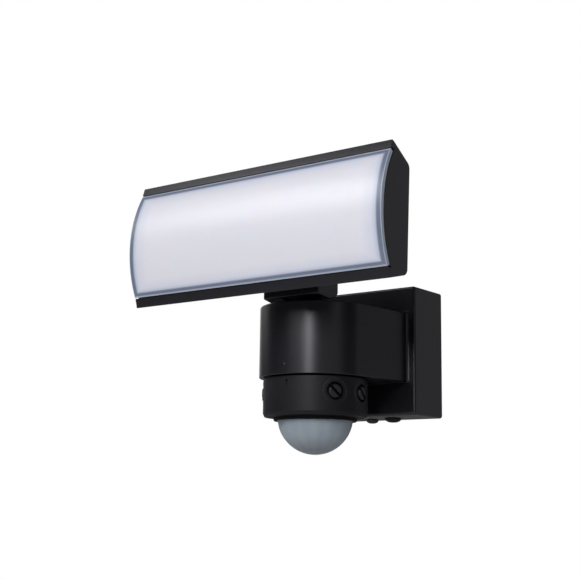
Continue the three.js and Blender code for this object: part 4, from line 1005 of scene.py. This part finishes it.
def scale_tree():
    """Ticks set along an arc in a flat plane, then wrapped on to the round wall."""
    tree = bpy.data.node_groups.new("dial scale", "GeometryNodeTree")
    tree.interface.new_socket("Geometry", in_out="OUTPUT", socket_type="NodeSocketGeometry")
    kinds = dict.fromkeys(
        ("Scale Radius", "Wall Radius", "Line Width", "Azimuth", "Start", "Sweep", "Axis Y", "Height"),
        "NodeSocketFloat",
    )
    kinds["Ticks"] = "NodeSocketInt"
    kinds["Finish"] = "NodeSocketMaterial"
    sizes = {}
    for name, kind in kinds.items():
        sizes[name] = tree.interface.new_socket(name, in_out="INPUT", socket_type=kind).identifier
    given = node(tree, "NodeGroupInput").outputs

    def scale_arc(points):
        curve = node(
            tree,
            "GeometryNodeCurveArc",
            mode="RADIUS",
            Resolution=points,
            Radius=given["Scale Radius"],
            Start_Angle=given["Start"],
            Sweep_Angle=given["Sweep"],
        )
        return curve.outputs["Curve"]

    width = given["Line Width"]
    line_points = node(tree, "FunctionNodeInputInt", integer=49)
    quad = node(tree, "GeometryNodeCurvePrimitiveQuadrilateral", Width=width, Height=width)
    line = node(
        tree,
        "GeometryNodeCurveToMesh",
        Curve=scale_arc(line_points.outputs[0]),
        Profile_Curve=quad.outputs["Curve"],
        Fill_Caps=True,
    )
    tick_size = node(tree, "ShaderNodeCombineXYZ", X=maths(tree, "MULTIPLY", width, 5.0), Y=width, Z=width)
    tick = node(tree, "GeometryNodeMeshCube", Size=tick_size.outputs[0])
    spot = node(tree, "GeometryNodeInputPosition")
    aim = node(tree, "FunctionNodeAlignRotationToVector", axis="X", Vector=spot.outputs[0])
    spots = node(
        tree,
        "GeometryNodeInstanceOnPoints",
        Points=scale_arc(given["Ticks"]),
        Instance=tick.outputs["Mesh"],
        Rotation=aim.outputs[0],
    )
    together = node(tree, "GeometryNodeJoinGeometry", Geometry=line.outputs["Mesh"])
    feed(tree, together.inputs["Geometry"], spots.outputs["Instances"])
    whole = node(tree, "GeometryNodeRealizeInstances", Geometry=together.outputs[0])

    # Flat x runs round the wall, flat y up it, and flat z stands out from it.
    flat = node(tree, "GeometryNodeInputPosition")
    parts = node(tree, "ShaderNodeSeparateXYZ", Vector=flat.outputs[0])
    way_round = maths(tree, "DIVIDE", parts.outputs["X"], given["Wall Radius"])
    turn = maths(tree, "ADD", given["Azimuth"], way_round)
    reach = maths(tree, "ADD", given["Wall Radius"], parts.outputs["Z"])
    ahead = maths(tree, "MULTIPLY", reach, maths(tree, "COSINE", turn))
    wrapped = node(
        tree,
        "ShaderNodeCombineXYZ",
        X=maths(tree, "MULTIPLY", reach, maths(tree, "SINE", turn)),
        Y=maths(tree, "SUBTRACT", given["Axis Y"], ahead),
        Z=maths(tree, "ADD", given["Height"], parts.outputs["Y"]),
    )
    placed = node(tree, "GeometryNodeSetPosition", Geometry=whole.outputs[0], Position=wrapped.outputs[0])
    coat = node(tree, "GeometryNodeSetMaterial", Geometry=placed.outputs[0], Material=given["Finish"])
    node(tree, "NodeGroupOutput", Geometry=coat.outputs[0])
    return tree, sizes


def repeated(name, tree, sizes, values):
    """Runs a Geometry Nodes tree once and keeps its result as a plain mesh."""
    seed = mesh_object(name, bmesh.new())
    maker = seed.modifiers.new("maker", "NODES")
    maker.node_group = tree
    for label, value in values.items():
        maker[sizes[label]] = value
    return settled(seed)


scale_line = moulded_plastic("scale line", (0.016, 0.016, 0.018), (0.022, 0.022, 0.024), 0.5)
dial_scale, dial_sizes = scale_tree()
for number, azimuth in enumerate(KNOB_AZIMUTHS, 1):
    scale = repeated(
        f"dial_scale_{number}",
        dial_scale,
        dial_sizes,
        {
            "Scale Radius": SCALE_RADIUS,
            "Wall Radius": SENSOR_RADIUS,
            "Line Width": SCALE_LINE,
            "Azimuth": math.radians(azimuth),
            "Start": SCALE_START,
            "Sweep": SCALE_SWEEP,
            "Axis Y": AXIS_Y,
            "Height": KNOB_Z,
            "Ticks": SCALE_TICKS,
            "Finish": scale_line,
        },
    )
    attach(scale, "sensor")

# ---- Setting knobs ----
# Three small black knobs with a screwdriver slot set time, range and daylight level. Each is
# a disc in a close hole, on a stem that turns the dial behind it.

KNOB_RADIUS = mm(3.7)
KNOB_FACE = mm(31)
KNOB_THICK = mm(2.4)
KNOB_ROUND = mm(0.5)
STEM_RADIUS = mm(2)
STEM_END = mm(24.4)
SLOT_HALF = mm(0.85)
SLOT_DEEP = mm(1.9)
SLOT_TURN = 45  # degrees


def knob_solid(name):
    """Knob that looks straight up, before it is laid into its hole."""
    profile = [(0, KNOB_FACE), (KNOB_RADIUS - KNOB_ROUND, KNOB_FACE)]
    profile += arc(KNOB_RADIUS - KNOB_ROUND, KNOB_FACE - KNOB_ROUND, KNOB_ROUND, 90, 0, 4)
    profile += [(KNOB_RADIUS, KNOB_FACE - KNOB_THICK), (STEM_RADIUS, KNOB_FACE - KNOB_THICK)]
    profile += [(STEM_RADIUS, STEM_END + mm(0.3)), (STEM_RADIUS - mm(0.3), STEM_END), (0, STEM_END)]
    solid = turned(name, profile, (0, 0, 0), 48, "poles")
    low = (mm(-6), -SLOT_HALF, KNOB_FACE - SLOT_DEEP)
    high = (mm(6), SLOT_HALF, KNOB_FACE + mm(1))
    return smoothed(reshaped(solid, "DIFFERENCE", block("slot", low, high)))


def paint_slot_shade(knob):
    """Gives the walls and floor of the slot the knob's second finish, black as painted shade in the
    recess.
    """
    hair = mm(0.01)
    for face in knob.data.polygons:
        across, height = abs(face.center.y), face.center.z
        if across < SLOT_HALF + hair and KNOB_FACE - SLOT_DEEP - hair < height < KNOB_FACE - mm(0.1):
            face.material_index = 1


knob_plastic = moulded_plastic("knob nylon", (0.006, 0.006, 0.0065), (0.009, 0.009, 0.0095), 0.42, 0.3)
for number, azimuth in enumerate(KNOB_AZIMUTHS, 1):
    knob = knob_solid(f"slotted_knob_{number}")
    knob.data.materials.append(knob_plastic)
    # The second finish is black, painted shade for the inside of the slot.
    knob.data.materials.append(print_and_slot_shade)
    paint_slot_shade(knob)
    lay_down = Matrix.Rotation(math.pi / 2, 4, "X") @ Matrix.Rotation(math.radians(-SLOT_TURN), 4, "Z")
    knob.data.transform(
        Matrix.Translation(knob_ring) @ Matrix.Rotation(math.radians(azimuth), 4, "Z") @ lay_down
    )
    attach(knob, f"knob_{number}")
    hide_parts(f"setting_knob_{number}")

# ---- Lens bezel ----
# A black ring moulded in ABS and snapped into the foot of the sensor cup.
# Its short collar grips the dome lens and hides the joint.

bezel_low, bezel_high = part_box("lens_bezel")
lens_low, lens_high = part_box("dome_lens")
LENS_RADIUS = mm(22)
LENS_CENTRE = lens_low.z + LENS_RADIUS
COLLAR_RADIUS = mm(24.2)
COLLAR_ROUND = mm(0.5)


def bezel_solid():
    hole = LENS_RADIUS + mm(0.35)
    profile = [(hole, bezel_low.z + mm(0.6)), (hole + mm(0.6), bezel_low.z)]
    profile += arc(COLLAR_RADIUS - COLLAR_ROUND, bezel_low.z + COLLAR_ROUND, COLLAR_ROUND, 270, 360, 4)
    profile += [(COLLAR_RADIUS + mm(0.1), SENSOR_FOOT - mm(0.4)), (COLLAR_RADIUS + mm(0.5), SENSOR_FOOT)]
    profile += [(bezel_high.x, SENSOR_FOOT), (bezel_high.x, bezel_high.z), (hole, bezel_high.z)]
    return smoothed(turned("lens_ring", profile, (0, AXIS_Y, 0), 128))


lens_ring = bezel_solid()
dull_plastic = moulded_plastic(
    "dull black ABS", (0.003, 0.003, 0.0035), (0.004, 0.004, 0.0045), 0.6, specular=0.14
)
lens_ring.data.materials.append(dull_plastic)
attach(lens_ring, "sensor")
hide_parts("lens_bezel")

# ---- Dome lens ----
# A thin milky dome in polyethylene, smooth outside. Inside it is divided into lens facets,
# which show through as faint upright bands.

LENS_THICK = mm(1)
LENS_FLANGE_RADIUS = mm(26)
LENS_FLANGE_FOOT = mm(-38.5)
LENS_STEPS = 24
FACETS = 16
FACET_STEPS = 8
FACET_DEEP = mm(0.3)
FACET_TIERS = 3
FACET_START = mm(2)  # from the pole of the dome


def lens_solid():
    quarter = [math.radians(90 * step / LENS_STEPS) for step in range(LENS_STEPS + 1)]
    inner = LENS_RADIUS - LENS_THICK
    profile = []
    for rise in quarter:
        profile.append((LENS_RADIUS * math.sin(rise), LENS_CENTRE - LENS_RADIUS * math.cos(rise), 0))
    profile += [(LENS_RADIUS, LENS_FLANGE_FOOT, 0), (LENS_FLANGE_RADIUS, LENS_FLANGE_FOOT, 0)]
    profile += [(LENS_FLANGE_RADIUS, lens_high.z, 0), (inner, lens_high.z, 0)]
    for rise in reversed(quarter):
        swell = FACET_DEEP * abs(math.sin(FACET_TIERS * rise))
        profile.append((inner * math.sin(rise), LENS_CENTRE - inner * math.cos(rise), swell))
    around = FACETS * FACET_STEPS
    rings = []
    for radius, height, swell in profile:
        ring = []
        for step in range(around):
            turn = math.tau * step / around
            within = (step % FACET_STEPS) / FACET_STEPS
            lift = swell * (4 * within * (1 - within)) if radius > FACET_START else 0
            reach = radius - lift
            ring.append((reach * math.cos(turn), AXIS_Y + reach * math.sin(turn), height))
        rings.append(ring)
    return smoothed(lofted("sensor_dome", rings, "poles"))


def lens_finish():
    """Milky plastic with a faint upright band for each facet, and painted shade that darkens it towards
    the foot of the dome.
    """
    finish, tree, surface, place = new_finish("milky polyethylene", 0.32)
    surface.inputs["Subsurface Weight"].default_value = 0.35
    surface.inputs["Subsurface Scale"].default_value = mm(2)
    centred = node(tree, "ShaderNodeMapping", Vector=place, Location=(0.0, -AXIS_Y, 0.0))
    around = node(tree, "ShaderNodeTexGradient", gradient_type="RADIAL", Vector=centred.outputs["Vector"])
    band = maths(tree, "PINGPONG", around.outputs["Fac"], 0.5 / FACETS)
    band = maths(tree, "MULTIPLY", band, 2.0 * FACETS)
    cloudy = node(tree, "ShaderNodeTexNoise", Vector=place, Scale=90.0, Detail=2.0)
    mixed = maths(tree, "MULTIPLY_ADD", band, 0.6, cloudy.outputs["Fac"])
    colours = [(0.25, (0.26, 0.315, 0.37)), (0.75, (0.28, 0.33, 0.38)), (0.95, (0.30, 0.345, 0.385))]
    # Painted shade: the colour darkens towards the foot of the dome, which faces away from the light.
    parts = node(tree, "ShaderNodeSeparateXYZ", Vector=place)
    depth = node(
        tree,
        "ShaderNodeMapRange",
        interpolation_type="SMOOTHSTEP",
        Value=parts.outputs["Z"],
        From_Min=lens_low.z,
        From_Max=lens_low.z + mm(11),
        To_Min=0.62,
        To_Max=1.0,
    )
    shaded = node(tree, "ShaderNodeVectorMath", operation="SCALE", Scale=depth.outputs["Result"])
    tree.links.new(colour_ramp(tree, mixed, colours), shaded.inputs[0])
    tree.links.new(shaded.outputs["Vector"], surface.inputs["Base Color"])
    add_bump(tree, surface, band, mm(0.05), 0.08)
    return finish


sensor_dome = lens_solid()
sensor_dome.data.materials.append(lens_finish())
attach(sensor_dome, "sensor")
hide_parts("dome_lens")

# ---- Inner pieces ----
# The driver, light engine, seals, clips and sensor electronics are closed in by the mouldings.
# They keep the design's own shapes, and each gets the finish of the real component, except the dial
# potentiometers, whose blue is darkened nearly to black as painted shade in the gaps round the knobs.


def board_finish(name, mask, track):
    """Printed board: solder mask over copper tracks."""
    finish, tree, surface, place = new_finish(name, 0.4)
    darker = tuple(0.85 * channel for channel in mask)
    tracks = node(
        tree,
        "ShaderNodeTexBrick",
        Vector=place,
        Scale=130.0,
        Color1=(*mask, 1),
        Color2=(*darker, 1),
        Mortar=(*track, 1),
        Mortar_Size=0.03,
    )
    tree.links.new(tracks.outputs["Color"], surface.inputs["Base Color"])
    add_bump(tree, surface, tracks.outputs["Fac"], mm(0.03), 0.6)
    return finish


def coloured_plastic(name, colour, roughness):
    darker = tuple(0.85 * channel for channel in colour)
    return moulded_plastic(name, darker, colour, roughness, 0.3)


def phosphor_finish():
    """Yellow phosphor with the fine grain of its powder."""
    finish, tree, surface, place = new_finish("led phosphor", 0.35)
    grains = node(tree, "ShaderNodeTexVoronoi", Vector=place, Scale=2600.0)
    colours = [(0.0, (0.85, 0.62, 0.12)), (0.6, (0.93, 0.75, 0.25)), (1.0, (0.95, 0.85, 0.5))]
    tint(tree, grains.outputs["Distance"], colours, surface.inputs["Base Color"])
    add_bump(tree, surface, grains.outputs["Distance"], mm(0.03), 0.5)
    return finish


spring_steel = metal_finish("spring steel", (0.50, 0.50, 0.51), 0.3)
rolled_aluminium = metal_finish("rolled aluminium", (0.74, 0.75, 0.76), 0.38, (1400.0, 60.0, 60.0))
white_plastic = coloured_plastic("white plastic", (0.80, 0.80, 0.78), 0.45)
green_board = board_finish("green board", (0.015, 0.10, 0.045), (0.03, 0.17, 0.08))
white_board = board_finish("white led board", (0.78, 0.79, 0.78), (0.62, 0.63, 0.62))
blue_plastic = coloured_plastic("blue plastic", (0.02, 0.07, 0.28), 0.45)
# Painted shade: the potentiometers' blue is darkened nearly to black, so the gaps round the knobs look
# shaded.
shade_darkened_blue_plastic = coloured_plastic("blue plastic darkened as shade", (0.003, 0.004, 0.010), 0.6)
led_phosphor = phosphor_finish()
inner_finishes = {
    "plate_seal": black_rubber,
    "terminal_block": white_plastic,
    "driver_board": green_board,
    "driver_transformer": inner_plastic,
    "driver_capacitor": blue_plastic,
    "sensor_seal": black_rubber,
    "pan_friction_washer": inner_plastic,
    "pan_retaining_clip": spring_steel,
    "diffuser_seal": black_rubber,
    "reflector_tray": white_plastic,
    "heat_sink_plate": rolled_aluminium,
    "led_board": white_board,
    "sensor_retaining_clip": spring_steel,
    "sensor_board": green_board,
    "motion_sensing_element": spring_steel,
    "daylight_sensor": white_plastic,
}
for number in range(1, 9):
    inner_finishes[f"led_{number}"] = led_phosphor
for number in range(1, 4):
    inner_finishes[f"knob_seal_{number}"] = black_rubber
    inner_finishes[f"dial_potentiometer_{number}"] = shade_darkened_blue_plastic
for name, finish in inner_finishes.items():
    carried = frame["nodes"][name].data
    carried.materials.clear()
    carried.materials.append(finish)

# ---- Studio ----
# A pale floor well under the light, which hangs from a wall in use, with soft boxes round it
# and a plain white surround. The camera looks up at the lamp from its right.

FLOOR_Z = mm(-250)
FLOOR_RADIUS = 1.5
FLOOR_THICK = mm(5)
LIT_PLACE = Vector((0, mm(-100), mm(30)))
LIGHT_DISTANCE = 1.25
SOFT_BOXES = [  # name, degrees from the front, degrees up, width, height, watts
    ("key", -37, 34, 0.6, 0.42, 4.3),
    ("strip", 22, 19, 0.09, 0.45, 7.8),
    ("front_fill", 0, 20, 0.8, 0.5, 2.1),
    ("left_fill", -92, 22, 0.62, 0.62, 1.3),
    ("left_back", -128, 10, 0.62, 0.62, 0.9),
    ("side_fill", 70, 14, 0.9, 0.62, 0.8),
    ("right_back", 146, 6, 0.8, 1.0, 0.65),
]
CAMERA_PLACE = (mm(400.5), mm(-626.3), mm(-90.4))
CAMERA_YAW, CAMERA_PITCH, CAMERA_ROLL = (math.radians(degrees) for degrees in (37.108, 10.298, 0.799))
CAMERA_LENS = 72.92
CAMERA_SENSOR = 36.0
CAMERA_REACH = (0.05, 50.0)


def pale_floor():
    levels = (FLOOR_Z - FLOOR_THICK, FLOOR_Z)
    floor = lofted("floor", [[(x, y, z) for x, y in circle(FLOOR_RADIUS, 64)] for z in levels])
    finish, _, surface, _ = new_finish("pale floor", 0.8)
    surface.inputs["Base Color"].default_value = (0.9, 0.9, 0.9, 1)
    floor.data.materials.append(finish)


def surround(strength):
    """White to the camera, and a dimmer grey sky as a light, darker towards the ground."""
    world = bpy.data.worlds.new("surround")
    world.use_nodes = True
    tree = world.node_tree
    tree.nodes.clear()
    way = node(tree, "ShaderNodeTexCoord").outputs["Generated"]
    rise = node(tree, "ShaderNodeSeparateXYZ", Vector=way).outputs["Z"]
    spread = node(tree, "ShaderNodeMapRange", Value=rise, From_Min=-0.6, From_Max=0.5)
    shades = [(0.0, (0.06, 0.06, 0.065)), (1.0, (0.9, 0.92, 1.0))]
    shade = colour_ramp(tree, spread.outputs["Result"], shades)
    sky = node(tree, "ShaderNodeBackground", Color=shade, Strength=strength)
    white = node(tree, "ShaderNodeBackground", Color=(1, 1, 1, 1), Strength=1.0)
    seen = node(tree, "ShaderNodeLightPath").outputs["Is Camera Ray"]
    mix = node(tree, "ShaderNodeMixShader", Fac=seen)
    tree.links.new(sky.outputs["Background"], mix.inputs[1])
    tree.links.new(white.outputs["Background"], mix.inputs[2])
    node(tree, "ShaderNodeOutputWorld", Surface=mix.outputs["Shader"])
    bpy.context.scene.world = world


def soft_box(name, azimuth, elevation, width, height, power):
    """Rectangular light at an angle from the front, aimed at the lamp."""
    light = bpy.data.lights.new(name, "AREA")
    light.shape = "RECTANGLE"
    light.size = width
    light.size_y = height
    light.energy = power
    lamp = bpy.data.objects.new(name, light)
    rise = math.radians(elevation)
    way = outward(azimuth) * math.cos(rise) + Vector((0, 0, math.sin(rise)))
    lamp.location = LIT_PLACE + way * LIGHT_DISTANCE
    lamp.rotation_mode = "QUATERNION"
    lamp.rotation_quaternion = (-way).to_track_quat("-Z", "Y")
    bpy.context.scene.collection.objects.link(lamp)


def camera_stand():
    """Camera to the right of the lamp and under it, looking a little up, with a slight roll."""
    level_reach = math.cos(CAMERA_PITCH)
    ahead = Vector(
        (-math.sin(CAMERA_YAW) * level_reach, math.cos(CAMERA_YAW) * level_reach, math.sin(CAMERA_PITCH))
    )
    level = Vector((math.cos(CAMERA_YAW), math.sin(CAMERA_YAW), 0))
    up = level.cross(ahead)
    right = math.cos(CAMERA_ROLL) * level + math.sin(CAMERA_ROLL) * up
    above = -math.sin(CAMERA_ROLL) * level + math.cos(CAMERA_ROLL) * up
    lens = bpy.data.cameras.new("camera")
    lens.lens = CAMERA_LENS
    lens.sensor_width = CAMERA_SENSOR
    lens.clip_start, lens.clip_end = CAMERA_REACH
    camera = bpy.data.objects.new("camera", lens)
    turn = Matrix((right, above, -ahead)).transposed().to_4x4()
    camera.matrix_world = Matrix.Translation(CAMERA_PLACE) @ turn
    bpy.context.scene.collection.objects.link(camera)
    bpy.context.scene.camera = camera


pale_floor()
surround(0.06)
for box in SOFT_BOXES:
    soft_box(*box)
bpy.context.scene.view_settings.view_transform = "Standard"
camera_stand()
